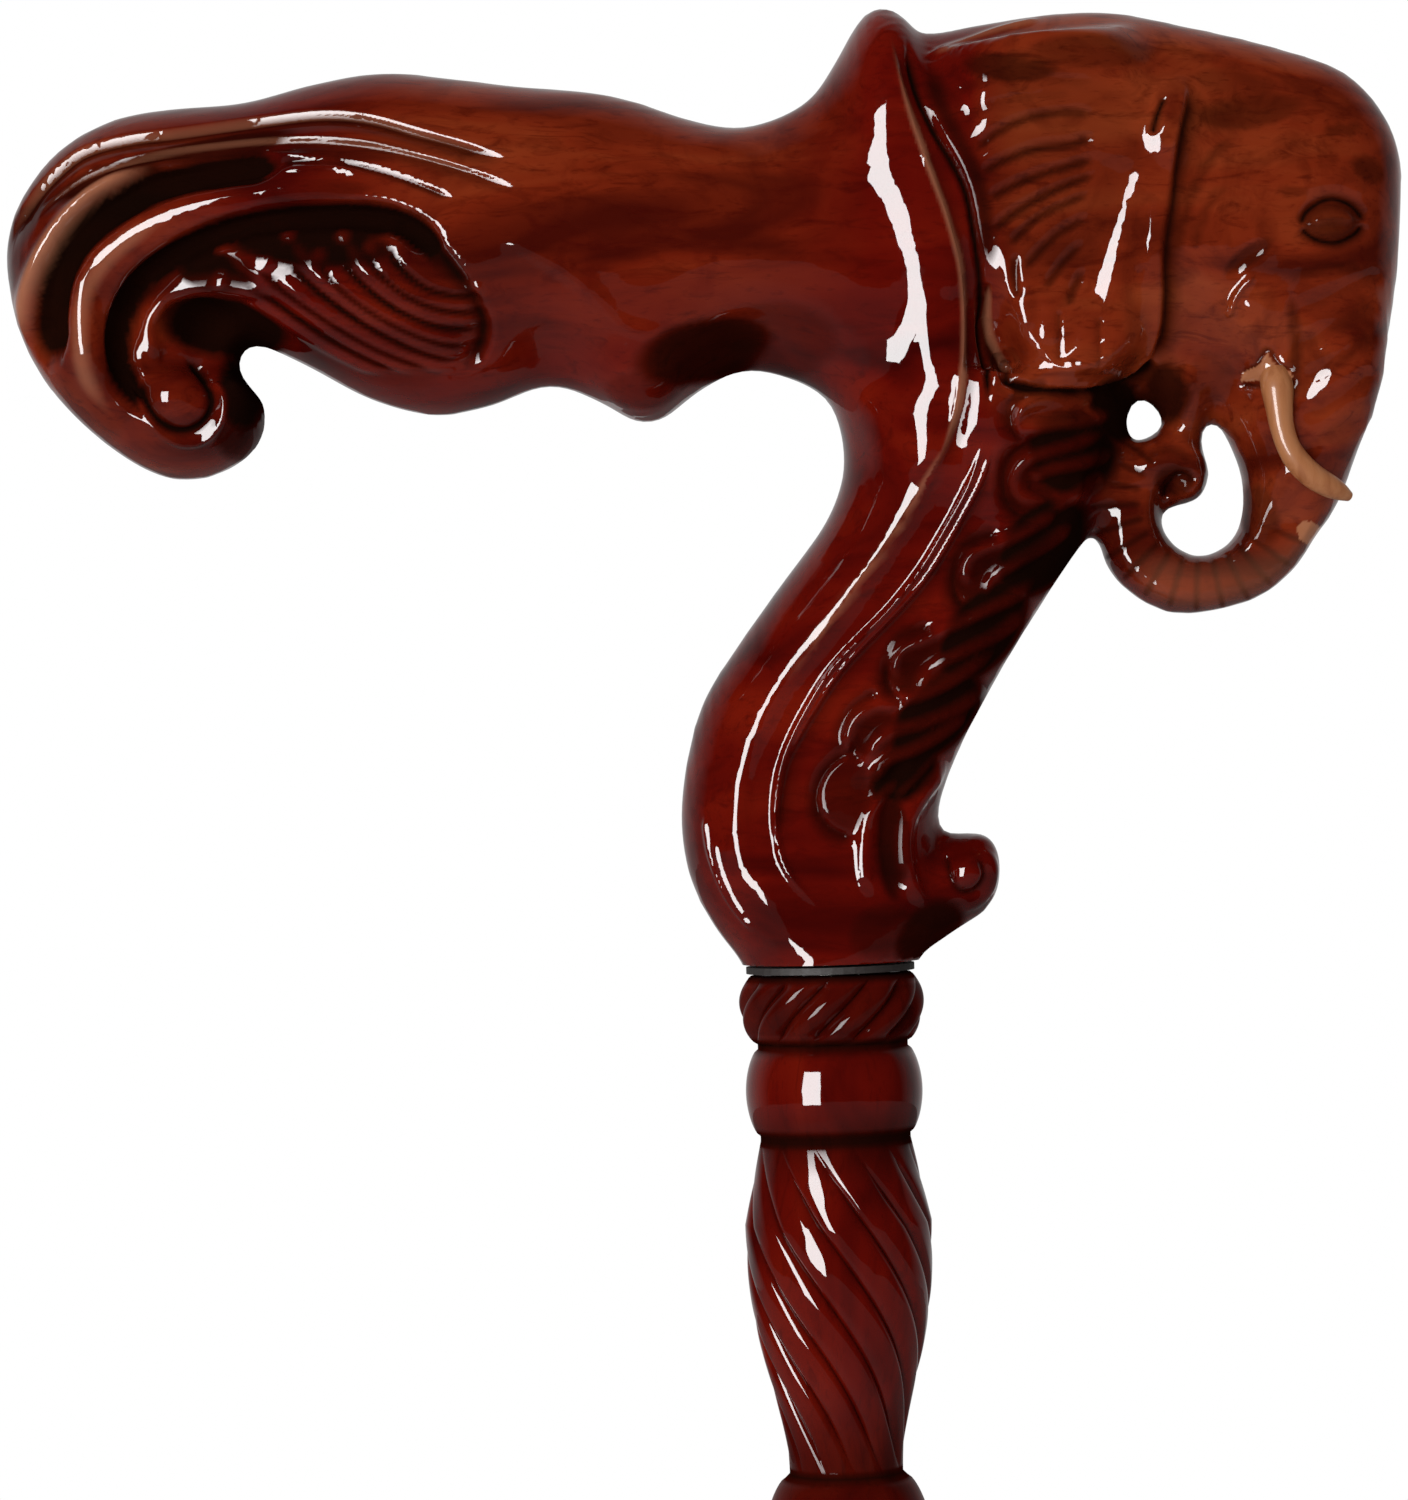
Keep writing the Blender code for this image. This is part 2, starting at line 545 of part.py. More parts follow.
def make_stud(look, parent):
    """The stud: a grooved shank for glue below the shaft's top, a thread above it."""
    bm = bmesh.new()
    shank_radius = THREAD_RADIUS
    groove_radius = shank_radius - STUD_GROOVE_DEPTH
    chamfer = THREAD_DEPTH
    core = THREAD_RADIUS - THREAD_DEPTH
    step = STUD_GLUED_LENGTH / (2 * STUD_GROOVES + 2)
    profile = [(shank_radius - chamfer, -STUD_GLUED_LENGTH), (shank_radius, -STUD_GLUED_LENGTH + chamfer)]
    for groove in range(STUD_GROOVES):
        low = -STUD_GLUED_LENGTH + (2 * groove + 1) * step
        high = low + step
        profile += [(shank_radius, low), (groove_radius, low + chamfer), (groove_radius, high - chamfer)]
        profile.append((shank_radius, high))
    profile += [(shank_radius, -chamfer), (core, 0.0)]
    shank = lathe(bm, profile, THREAD_SIDES)
    start = STUD_RISE
    end = STUD_RISE + THREAD_LENGTH
    low, high = thread_rings(bm, THREAD_RADIUS, start, end, STUD_RISE)
    bm.faces.new(shank[0])
    bridge(bm, shank[-1], low)
    tip = add_ring(bm, [ring_point(core - FIT, i, THREAD_SIDES, end + chamfer / 2) for i in range(THREAD_SIDES)])
    bridge(bm, high, tip)
    bm.faces.new(tip)
    return place("joining_stud", bm, look, parent)


def ring_point(radius, i, sides, height):
    """Point number i of a round row."""
    angle = 2 * pi * i / sides
    return (radius * cos(angle), radius * sin(angle), height)


def make_insert(look, parent):
    """The insert: a brass tube, threaded inside and grooved outside for glue."""
    bm = bmesh.new()
    low_end = FIT
    high_end = INSERT_LENGTH
    low, high = thread_rings(bm, THREAD_RADIUS + FIT, low_end, high_end, 0.0)
    groove = INSERT_RADIUS - INSERT_GROOVE_DEPTH
    step = (high_end - low_end) / (2 * INSERT_GROOVES + 1)
    profile = [(INSERT_RADIUS, low_end)]
    for number in range(INSERT_GROOVES):
        start = low_end + (2 * number + 1) * step
        profile += [(INSERT_RADIUS, start), (groove, start + step / 4), (groove, start + 3 * step / 4)]
        profile.append((INSERT_RADIUS, start + step))
    profile.append((INSERT_RADIUS, high_end))
    outside = lathe(bm, profile, THREAD_SIDES)
    bridge(bm, low, outside[0])
    bridge(bm, high, outside[-1])
    return place("handle_insert", bm, look, parent)


def make_joint_washer(look, parent):
    """The thin ring in the seam."""
    bm = bmesh.new()
    inner = THREAD_RADIUS + 2 * FIT
    outer = JOINT_RADIUS - FIT
    profile = [(inner, 0.0), (outer, 0.0), (outer, WASHER_THICKNESS), (inner, WASHER_THICKNESS)]
    rings = lathe(bm, profile, SHAFT_SIDES)
    bridge(bm, rings[-1], rings[0])
    return place("joint_washer", bm, look, parent)


def make_rubber_tip(look, parent):
    """The ferrule: a ribbed flare, a ring groove in the sole and a socket for the shaft's foot."""
    bm = bmesh.new()
    taper = (TAPER_TOP_RADIUS - FOOT_RADIUS) / SHAFT_LENGTH
    socket_floor = SOLE_THICKNESS
    socket_top = SOLE_THICKNESS + SOCKET_DEPTH
    socket_radius = FOOT_RADIUS + taper * SOCKET_DEPTH + FIT
    half_groove = SOLE_GROOVE_WIDTH / 2
    edge = 2 * TIP_RIB_DEPTH
    profile = [
        (SOLE_GROOVE_RADIUS - half_groove, 0.0),
        (SOLE_GROOVE_RADIUS - half_groove, SOLE_GROOVE_DEPTH),
        (SOLE_GROOVE_RADIUS + half_groove, SOLE_GROOVE_DEPTH),
        (SOLE_GROOVE_RADIUS + half_groove, 0.0),
        (SOLE_RADIUS - edge, 0.0),
        (SOLE_RADIUS, edge),
    ]
    for rib in range(TIP_RIBS):
        low = TIP_RIB_START + rib * TIP_RIB_HEIGHT
        reach = SOLE_RADIUS - (SOLE_RADIUS - TIP_WAIST_RADIUS) * rib / TIP_RIBS
        profile.append((reach, low))
        profile.append((reach - TIP_RIB_DEPTH, low + TIP_RIB_EDGE))
        profile.append((reach - TIP_RIB_DEPTH, low + TIP_RIB_HEIGHT - TIP_RIB_EDGE))
    profile += [
        (TIP_WAIST_RADIUS, TIP_RIB_START + TIP_RIBS * TIP_RIB_HEIGHT),
        (TIP_TOP_RADIUS, socket_top - edge),
        (TIP_TOP_RADIUS - edge / 2, socket_top),
        (socket_radius, socket_top),
        (socket_radius, socket_floor),
    ]
    rings = lathe(bm, profile, TIP_SIDES)
    bm.faces.new(rings[0])
    bm.faces.new(rings[-1])
    return place("rubber_tip", bm, look, parent)


def make_tip_washer(look, parent):
    """The steel disc on the socket's floor."""
    bm = bmesh.new()
    radius = FOOT_RADIUS - FIT
    low = TIP_WASHER_FLOOR - SOLE_FLOOR
    rings = lathe(bm, [(radius, low), (radius, low + TIP_WASHER_THICKNESS)], TIP_SIDES)
    bm.faces.new(rings[0])
    bm.faces.new(rings[-1])
    return place("tip_washer", bm, look, parent)


def curve_between(before, start, end, after, share):
    """A smooth row between two rows of numbers, drawn towards their neighbours."""
    row = []
    for p, q, r, s in zip(before, start, end, after):
        bend = 2 * p - 5 * q + 4 * r - s
        cubic = 3 * q - p - 3 * r + s
        row.append(0.5 * (2 * q + (r - p) * share + bend * share ** 2 + cubic * share ** 3))
    return row


def smooth_rows(rows, steps):
    """The rows with steps - 1 more between each two, along one smooth curve."""
    first = [2 * a - b for a, b in zip(rows[0], rows[1])]
    last = [2 * a - b for a, b in zip(rows[-1], rows[-2])]
    padded = [first, *rows, last]
    filled = []
    for before, start, end, after in zip(padded, padded[1:], padded[2:], padded[3:]):
        filled += [curve_between(before, start, end, after, step / steps) for step in range(steps)]
    filled.append(list(rows[-1]))
    return filled


def add_strip(bm, rows):
    """One closed body of elliptical rings, each on the crosswise line that a row gives."""
    rings = []
    for x_a, z_a, x_b, z_b, half in smooth_rows(rows, STRIP_STEPS):
        middle = Vector((x_a + x_b, 0.0, z_a + z_b)) * UNIT / 2
        arm = Vector((x_a - x_b, 0.0, z_a - z_b)) * UNIT / 2
        side = Vector((0.0, half * UNIT, 0.0))
        points = []
        for i in range(RING_POINTS):
            angle = 2 * pi * i / RING_POINTS
            points.append(middle + arm * cos(angle) + side * sin(angle))
        rings.append(add_ring(bm, points))
    for low, high in zip(rings[:-1], rings[1:]):
        bridge(bm, low, high)
    bm.faces.new(rings[0])
    bm.faces.new(rings[-1])


def tusk_body(name, look, parent, side, extra=0.0):
    """One tusk, or with extra its groove: round rings along the tusk's curve."""
    bm = bmesh.new()
    rows = smooth_rows(TUSK, TUSK_STEPS)
    places = [Vector((x, side * y, z)) * UNIT for x, z, y, radius in rows]
    sizes = [row[3] * UNIT + extra for row in rows]
    rings = []
    for i, (centre, radius) in enumerate(zip(places, sizes)):
        before = places[max(i - 1, 0)]
        after = places[min(i + 1, len(places) - 1)]
        along = (after - before).normalized()
        across = along.cross(Vector((0.0, 1.0, 0.0))).normalized()
        up = across.cross(along)
        if i == 0:
            centre = centre - along * extra
        if i == len(places) - 1:
            centre = centre + along * extra
        points = []
        for k in range(TUSK_SIDES):
            angle = 2 * pi * k / TUSK_SIDES
            points.append(centre + (across * cos(angle) + up * sin(angle)) * radius)
        rings.append(add_ring(bm, points))
    for low, high in zip(rings[:-1], rings[1:]):
        bridge(bm, low, high)
    bm.faces.new(rings[0])
    bm.faces.new(rings[-1])
    return place(name, bm, look, parent)


def cut(body, cutter):
    """Cut one closed body out of another."""
    hide_cutter(cutter)
    modifier = body.modifiers.new(cutter.name, "BOOLEAN")
    modifier.operation = "DIFFERENCE"
    modifier.solver = "EXACT"
    modifier.object = cutter


def socket_cutter(parent):
    """The seat's plane and the bore for the insert, as one turned cutter."""
    bm = bmesh.new()
    bore = INSERT_RADIUS + FIT
    profile = [
        (SEAT_CUT_RADIUS, -SEAT_CUT_DEPTH),
        (SEAT_CUT_RADIUS, 0.0),
        (bore, 0.0),
        (bore, HANDLE_BORE_DEPTH),
    ]
    rings = lathe(bm, profile, SHAFT_SIDES)
    bm.faces.new(rings[0])
    bm.faces.new(rings[-1])
    return place("socket_cutter", bm, None, parent)


def smooth_line(points):
    """A form's line as an array of points on one smooth curve."""
    return np.array(smooth_rows(points, LINE_STEPS))


def eased(share):
    """A share from 0 to 1, held at both ends and smooth between them."""
    share = np.clip(share, 0.0, 1.0)
    return share * share * (3 - 2 * share)


def taper(travelled, ends):
    """1 along a form's middle, falling to 0 at both ends."""
    return eased(np.minimum(travelled, 1 - travelled) / ends)


def measure(flat, points, reach):
    """The flat points within reach of a line: their numbers, distance, side and share along it.

    The side is 1 on the right of the line's way and -1 on its left.
    """
    line = smooth_line(points)
    near = ((flat >= line.min(0) - reach) & (flat <= line.max(0) + reach)).all(1)
    near = np.flatnonzero(near)
    start = line[:-1]
    along = line[1:] - start
    length = (along ** 2).sum(1)
    offset = flat[near][:, None, :] - start[None]
    share = np.clip((offset * along).sum(2) / length, 0.0, 1.0)
    gap = offset - share[..., None] * along
    distance = np.sqrt((gap ** 2).sum(2))
    best = distance.argmin(1)
    rows = np.arange(len(near))
    aside = offset[rows, best]
    way = along[best]
    side = np.sign(aside[:, 0] * way[:, 1] - aside[:, 1] * way[:, 0])
    runs = np.concatenate([[0.0], np.cumsum(np.sqrt(length))])
    travelled = (runs[best] + share[rows, best] * np.sqrt(length[best])) / runs[-1]
    return near, distance[rows, best], side, travelled


def flattened(places):
    """The places with the flat faces cut into the body."""
    flat = places[:, [0, 2]]
    depth = np.abs(places[:, 1])
    for first, last, thinning, reach, points in FLATS:
        near, distance, side, travelled = measure(flat, points, reach)
        limit = first + (last - first) * travelled ** FLAT_RISE - thinning * distance
        over = depth[near] - limit
        held = (over + np.sqrt(over ** 2 + FLAT_BLEND)) / 2
        share = taper(travelled, ENDS) * eased(0.5 + distance * side / FLAT_EDGE)
        depth[near] -= held * share * eased((reach - distance) / FLAT_FADE)
    return np.stack([places[:, 0], np.copysign(depth, places[:, 1]), places[:, 2]], 1)


def ledges_at(flat, ledges):
    """How far each flat point lies below the ledges."""
    cut = np.zeros(len(flat))
    for drop, fall, soft, points in ledges:
        near, distance, side, travelled = measure(flat, points, fall)
        signed = distance * side
        step = eased((signed + soft) / (2 * soft))
        climb = np.clip(1 - signed / fall, 0.0, 1.0) ** LEDGE_CLIMB
        cut[near] = np.maximum(cut[near], drop * step * climb * taper(travelled, ENDS))
    return cut


def channels_at(flat):
    """How far each flat point lies below the channels' rims."""
    cut = np.zeros(len(flat))
    for depth, half_width, points in CHANNELS:
        near, distance, side, travelled = measure(flat, points, half_width)
        wall = (distance / half_width - CHANNEL_FLOOR) / (1 - CHANNEL_FLOOR)
        cut[near] = np.maximum(cut[near], depth * (1 - eased(wall)) * taper(travelled, ENDS))
    return cut


def folds_at(flat):
    """How far each flat point is raised by the folds."""
    rise = np.zeros(len(flat))
    for height, half_width, points in FOLDS:
        near, distance, side, travelled = measure(flat, points, half_width)
        crest = np.clip(1 - (distance / half_width) ** 2, 0.0, 1.0) ** 2
        rise[near] = np.maximum(rise[near], height * crest * taper(travelled, ENDS))
    return rise


def swells_at(flat):
    """How far each flat point is raised by the swells and lowered by the hollows."""
    layer = np.zeros(len(flat))
    for x, z, half_length, half_height, tilt, height in SWELLS:
        turn = radians(tilt)
        aside = flat - (x, z)
        u = (aside[:, 0] * cos(turn) + aside[:, 1] * sin(turn)) / half_length
        v = (aside[:, 1] * cos(turn) - aside[:, 0] * sin(turn)) / half_height
        layer += height * np.clip(1 - u * u - v * v, 0.0, 1.0) ** 2
    return layer


def carve(handle):
    """Melt the handle's strips into one body and move its surface to the carving's main forms."""
    melt = handle.modifiers.new("melt", "REMESH")
    melt.mode = "VOXEL"
    melt.voxel_size = VOXEL
    melt.use_smooth_shade = True
    soften = handle.modifiers.new("soften", "SMOOTH")
    soften.factor = SMOOTH_FACTOR
    soften.iterations = SMOOTH_PASSES
    graph = bpy.context.evaluated_depsgraph_get()
    mesh = bpy.data.meshes.new_from_object(handle.evaluated_get(graph))
    handle.modifiers.clear()
    places = np.empty(3 * len(mesh.vertices))
    mesh.vertices.foreach_get("co", places)
    mesh.vertices.foreach_set("co", (UNIT * flattened(places.reshape(-1, 3) / UNIT)).ravel())
    mesh.update()
    places = np.empty(3 * len(mesh.vertices))
    normals = np.empty(3 * len(mesh.vertices))
    mesh.vertices.foreach_get("co", places)
    mesh.vertices.foreach_get("normal", normals)
    places = places.reshape(-1, 3) / UNIT
    normals = normals.reshape(-1, 3)
    flat = places[:, [0, 2]]
    height = swells_at(flat) + folds_at(flat) - ledges_at(flat, TERRACES)
    height = height - np.maximum(ledges_at(flat, LEDGES), channels_at(flat))
    height = height * eased((np.abs(normals[:, 1]) - EDGE_FACING) / FACE_FACING)
    places = places + normals * height[:, None]
    mesh.vertices.foreach_set("co", (UNIT * places).ravel())
    mesh.update()
    handle.data = mesh


def make_handle(look, parent):
    """The handle: its strips melted into one piece and carved, then cut for the socket and the tusks."""
    bm = bmesh.new()
    for strip in (NECK, COLLAR, GRIP, SCROLL_WEB, HEAD, EAR, JAW, CURL):
        add_strip(bm, strip)
    handle = place("handle", bm, look, parent)
    carve(handle)
    ease = handle.modifiers.new("ease", "SMOOTH")
    ease.factor = SMOOTH_FACTOR
    ease.iterations = EASE_PASSES
    thin = handle.modifiers.new("thin", "DECIMATE")
    thin.ratio = KEPT_SHARE
    cut(handle, socket_cutter(parent))
    for name, side in (("tusk_groove_right", -1.0), ("tusk_groove_left", 1.0)):
        cut(handle, tusk_body(name, None, parent, side, FIT))
    return handle


def build():
    """Clear the scene and make every piece."""
    for old in list(bpy.data.objects):
        bpy.data.objects.remove(old, do_unlink=True)
    mahogany = material("varnished_mahogany", (0.20, 0.035, 0.015), 0.18)
    shaft_wood = material("varnished_shaft_wood", (0.16, 0.028, 0.014), 0.18)
    pale_wood = material("pale_wood", (0.55, 0.34, 0.16), 0.3)
    steel = material("zinc_plated_steel", (0.62, 0.62, 0.60), 0.35, 1.0)
    brass = material("brass", (0.72, 0.52, 0.22), 0.3, 1.0)
    fibre = material("black_fibre", (0.02, 0.015, 0.012), 0.6)
    rubber = material("black_rubber", (0.025, 0.025, 0.025), 0.7)

    handle_axis = empty("handle_axis", HANDLE_SEAT)
    washer_axis = empty("washer_axis", WASHER_FLOOR)
    shaft_axis = empty("shaft_axis", SHAFT_TOP)
    tip_axis = empty("tip_axis", SOLE_FLOOR)

    make_handle(mahogany, handle_axis)
    for name, side in (("tusk_right", -1.0), ("tusk_left", 1.0)):
        tusk_body(name, pale_wood, handle_axis, side)
    make_insert(brass, handle_axis)
    make_joint_washer(fibre, washer_axis)
    make_shaft(shaft_wood, shaft_axis)
    make_stud(steel, shaft_axis)
    make_rubber_tip(rubber, tip_axis)
    make_tip_washer(steel, tip_axis)


build()
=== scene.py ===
"""Looks of the carved walking stick: its carved and lacquered woods, metals and rubber, and the studio.

Metres, +Z up the shaft, +X the way the elephant looks. The carving is drawn in millimetres from the middle
of the handle's seat, as x and z seen from the side, and both sides of the handle share it.
"""
import math

import bmesh
import bpy
import numpy as np
from mathutils import Matrix, Vector


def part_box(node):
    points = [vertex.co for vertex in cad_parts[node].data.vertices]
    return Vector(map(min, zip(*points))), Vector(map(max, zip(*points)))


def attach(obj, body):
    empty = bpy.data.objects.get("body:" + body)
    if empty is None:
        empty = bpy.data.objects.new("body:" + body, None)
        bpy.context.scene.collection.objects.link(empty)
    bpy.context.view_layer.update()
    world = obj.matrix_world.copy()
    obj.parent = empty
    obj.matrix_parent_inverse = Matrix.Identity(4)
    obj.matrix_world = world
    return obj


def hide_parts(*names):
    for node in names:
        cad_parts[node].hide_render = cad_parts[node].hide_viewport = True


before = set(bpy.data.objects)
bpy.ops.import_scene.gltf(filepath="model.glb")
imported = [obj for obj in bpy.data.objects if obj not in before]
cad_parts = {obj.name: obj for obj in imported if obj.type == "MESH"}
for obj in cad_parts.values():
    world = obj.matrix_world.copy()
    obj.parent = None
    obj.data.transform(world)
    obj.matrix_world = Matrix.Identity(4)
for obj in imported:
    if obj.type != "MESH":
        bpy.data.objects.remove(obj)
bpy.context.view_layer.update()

MM = 0.001
SHAFT_LOW, SHAFT_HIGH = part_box("shaft")
AXIS_X = (SHAFT_LOW.x + SHAFT_HIGH.x) / 2
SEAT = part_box("handle")[0].z
SEAT_PLACE = Vector((AXIS_X, 0.0, SEAT))
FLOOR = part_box("rubber_tip")[0].z

# The camera's distance from the stick's middle plane and the place it looks at there, in millimetres. The
# carving is drawn in that plane as it is seen from there. Then the picture's height in metres at that
# plane, and how many degrees the picture is rolled.
VIEW_DISTANCE = 620.0
VIEW_MIDDLE = (-14.3, 25.9)
VIEW_HEIGHT = 0.180
VIEW_ROLL = 1.85

# The studio's floor, in metres
FLOOR_RADIUS = 4.0
FLOOR_GAP = 0.0003

# Room for glue round the stud and the insert, and the size of what cuts the neck's end flat, in metres
GLUE_ROOM = 0.3 * MM
CUTTER_RADIUS = 0.02
CUTTER_DEPTH = 0.006

# The mesh that the handle is carved in: its size of cell in metres, halved near lines and again near fine
# ones, how far from them in millimetres, and how often it is softened
CARVING_CELL = 0.0011
LINE_REACH = 1.6
FINE_REACH = 0.7
SOFTEN_PASSES = 3
FINE_SOFTEN_PASSES = 4
LAST_SOFTEN_PASSES = 1
STRIP_STEPS = 12
RING_POINTS = 64
TUSK_SIDES = 32

# The handle's body in strips. Each row is x and z at one edge, x and z at the other, and half the thickness.
NECK = [
    (-10, -3, 10, -3, 10), (-10.4, 0, 10.4, 0, 10.4), (-13.4, 4, 12.8, 2.6, 11),
    (-16.2, 9.5, 13.4, 8.6, 11.6), (-17.4, 15.5, 13, 14.5, 12.1), (-17, 22, 14.4, 20.5, 12.6),
    (-14.6, 31, 16.6, 25.5, 13), (-10.4, 37.6, 18.8, 29.5, 13.4), (-4.2, 45.8, 22.4, 35.5, 13.8),
    (0.8, 52.2, 27.4, 43, 14), (3.2, 57.5, 33, 50.8, 14.2), (3.5, 62, 37, 57, 14.4),
    (2.4, 67, 37.4, 62, 14.8), (1, 72, 38, 67, 15.2),
]
COLLAR = [
    (2.6, 49, 16, 44, 10), (4.6, 57, 21, 55, 13.2), (3.4, 67, 23.6, 67, 14.2), (1, 78, 24, 78, 14.4),
    (0.5, 90, 22, 90, 14.4), (2, 100, 19, 100, 14), (4.2, 107.5, 16, 107, 12.4), (6.6, 112, 13.4, 111.6, 9),
    (8.4, 114.2, 11.2, 114, 4),
]
GRIP = [
    (12.4, 110, 19.4, 64, 15.2), (8, 110.6, 12, 61, 15.2), (4.6, 108.5, 6, 62, 15.2),
    (0.6, 103.2, 1.4, 68, 15.1), (-7, 100.3, -7, 71.3, 15), (-14, 101.6, -13, 69.2, 14.9),
    (-20, 103.9, -19.5, 65, 15), (-26, 105.3, -25.5, 68, 15.2), (-33, 106, -31.5, 70.2, 15.4),
    (-41, 107.2, -38.5, 67.9, 15.8), (-50, 108.3, -45.5, 67, 15.8), (-58.5, 107.2, -53, 69.2, 15.4),
    (-67, 105.2, -60, 73.2, 14.6), (-75, 104.8, -65.5, 76, 13.8), (-83, 103.6, -70, 77.5, 13),
    (-90.5, 99, -73, 78.5, 12.4), (-95.4, 91, -75.5, 78.5, 12), (-95.4, 81.5, -76.5, 77, 11.6),
    (-92, 72.8, -76.5, 76, 11.2), (-85.5, 65.4, -76, 75, 10.8), (-78, 60.6, -74.5, 74.6, 10.4),
    (-71.4, 60.8, -72.4, 74.4, 10), (-66.4, 64.4, -70.4, 74.2, 9.6), (-65.6, 69.2, -69.8, 73.8, 9.2),
]
SCROLL_WEB = [
    (-80, 84, -80, 70, 8), (-75, 84, -75, 70, 8), (-69.4, 82, -69.4, 73.4, 7), (-68.6, 81, -68.6, 76, 6),
]
HEAD = [
    (13, 110.4, 20, 68, 14.2), (25, 112.2, 27, 67.2, 14.4), (36, 112.9, 36, 67, 14.4),
    (47, 110.6, 41, 66.8, 14), (57, 107.9, 44, 66.6, 13.4), (65.8, 104.2, 46, 66.4, 12.7),
    (71, 96.5, 47.4, 66, 12), (71.3, 87.5, 48, 65.4, 11.3), (70, 76.5, 48.6, 64.2, 10.6),
    (67.6, 66, 49.6, 61, 9.8), (65, 58.6, 51, 57.8, 9), (62.6, 52.8, 51.4, 54.6, 8.4),
    (60, 49.4, 51.2, 52, 7.8), (57.2, 45.4, 50.2, 49.4, 7.4), (53, 42.2, 48.6, 48, 7),
    (47.6, 40.7, 46.6, 47.3, 6.8), (42.4, 40.5, 44.4, 47.5, 6.6), (37.8, 42.8, 42.6, 48.8, 6.4),
    (34.6, 46.6, 41.4, 51, 6.2), (34, 51.6, 41.1, 53.2, 6), (34.8, 56.6, 41.6, 55.6, 5.8),
    (37.6, 60.4, 43.4, 56, 5.6), (42.4, 62.2, 43.8, 55.8, 5.4), (46.2, 60.6, 43.2, 55.6, 5.2),
    (47.4, 57.2, 42.8, 56, 5), (46.2, 54.2, 42.8, 56.6, 4.8), (43.6, 52.8, 42.6, 56, 4.6),
]
EAR = [
    (14, 108, 41, 110.4, 14), (14.6, 103, 44, 104.6, 17.4), (16.2, 96, 42.6, 96, 18.6),
    (17.6, 88, 41.6, 87, 18.8), (19.2, 80, 41, 78, 18.6), (21.4, 73, 40.4, 71.4, 17.6),
    (25, 69, 37, 68.4, 15),
]
JAW = [
    (39, 70, 50.4, 70, 7.5), (39.8, 67, 48.8, 67, 6.8), (41.6, 64.8, 47.4, 64.8, 5.8),
    (43, 63, 46.6, 63, 5), (43.2, 61.2, 46.2, 61.2, 4.4),
]
CURL = [
    (6, 9, 12.4, 1.4, 8), (10, 11, 15.4, 3.4, 6.6), (13.2, 13.8, 18.2, 5, 5.8), (15.2, 15, 20.4, 7.8, 5.4),
    (17.8, 15.2, 20.8, 11.2, 4.4), (19.4, 14.6, 20.6, 13, 2.4),
]

# Lines that several forms of the carving share, as x and z along them
NECK_RIDGE = [
    (-9.6, 9), (-10.6, 15.5), (-10.4, 20), (-9.4, 25), (-7.6, 29.2), (-5, 33.3), (-1.5, 37.5), (2, 41.8),
    (5, 45.5), (8.8, 50.4), (12.6, 56.3), (15.2, 60.6),
]
NECK_LINE = [
    (21.6, 61.6), (20.2, 57.4), (18.2, 53.6), (15.8, 49.6), (13.4, 46), (10.4, 42.6), (7.4, 39.7),
    (4.6, 37), (2, 34.2), (-0.6, 30.5), (-2.8, 27), (-4.4, 23.5), (-5.4, 19), (-6.4, 13),
]
COLLAR_EDGE = [
    (13.4, 57.2), (15.6, 61), (17.3, 65.4), (18.2, 70), (18.6, 75), (18.6, 80), (18.2, 84), (16.9, 89.5),
    (15, 95.2), (13.2, 101), (12, 105.6), (10.8, 111),
]
TOP_EDGE = [
    (-96, 87), (-95.2, 91), (-93, 94.8), (-90, 98), (-86.5, 100.4), (-81, 101.7), (-75, 102.3),
    (-66, 103.3), (-58, 103.9), (-52, 103.2), (-46, 101.3), (-41, 99.7), (-34, 97),
]
SECOND_EDGE = [
    (-93.4, 91), (-90.4, 94.6), (-86.6, 97.2), (-81, 99), (-76, 100), (-70, 100.6), (-64, 100.9),
    (-58, 100.7), (-52, 99.9), (-45, 98.1), (-39, 96), (-33, 93.4),
]
OUTER_STRAND = [
    (-78, 98.3), (-83.6, 96.4), (-87.6, 93.5), (-91, 89.5), (-93.4, 85), (-94.5, 80.5), (-94.4, 75),
]
MAIN_STRAND = [
    (-52, 94.9), (-60, 95.2), (-68, 94.4), (-76, 92.2), (-82, 88.8), (-86, 84.4), (-87.4, 79), (-86.8, 73),
    (-84, 68),
]
HOOK_STRAND = [
    (-63, 81.8), (-69, 83.4), (-74, 83.4), (-77.6, 82), (-79.3, 79), (-78.9, 75.8), (-78.4, 73),
]
EAR_BACK = [
    (21.8, 81), (21.6, 78.6), (21.7, 75.4), (22.6, 72.4), (24.2, 70),
]

# Broad forms of the carving: x, z, half length, half height, tilt in degrees, height
SWELLS = [
    (-76.4, 71, 4.2, 4.4, 0, 2), (-20.5, 71, 7.5, 6.5, 0, 1.6), (-31, 74, 7, 5, 0, -1),
    (-8, 73.4, 8, 6.6, 0, -1.4), (-87, 79.5, 2.6, 11, 4, 0.6), (14, 61.5, 4, 6, 0, 0.7),
    (44.5, 99.6, 6, 7, 0, 1.8), (53.5, 100.4, 7.5, 3.4, 8, -0.9), (63, 87, 3.8, 2.8, 0, 0.6),
    (46.6, 75, 3.2, 9, -4, -0.9), (54, 75, 4.2, 6.4, 0, 0.9), (54.8, 69.3, 3.8, 2, 0, 0.7),
    (64.8, 68, 5.8, 13, -12, 1.9), (17, 10.4, 3.2, 3.2, 0, 1.1), (1.9, 18.7, 3.2, 3.8, 20, 0.3),
    (27.8, 64.6, 3, 1.6, 10, -1), (27, 57, 3.2, 2.6, 25, -0.7), (20.8, 45.6, 3.2, 2.4, 35, -0.7),
    (12.6, 35, 3.2, 2.4, 35, -0.7), (5, 20.4, 2.2, 3, -20, -0.7), (-72.9, 78.8, 5.4, 3.9, -12, -3.8),
]

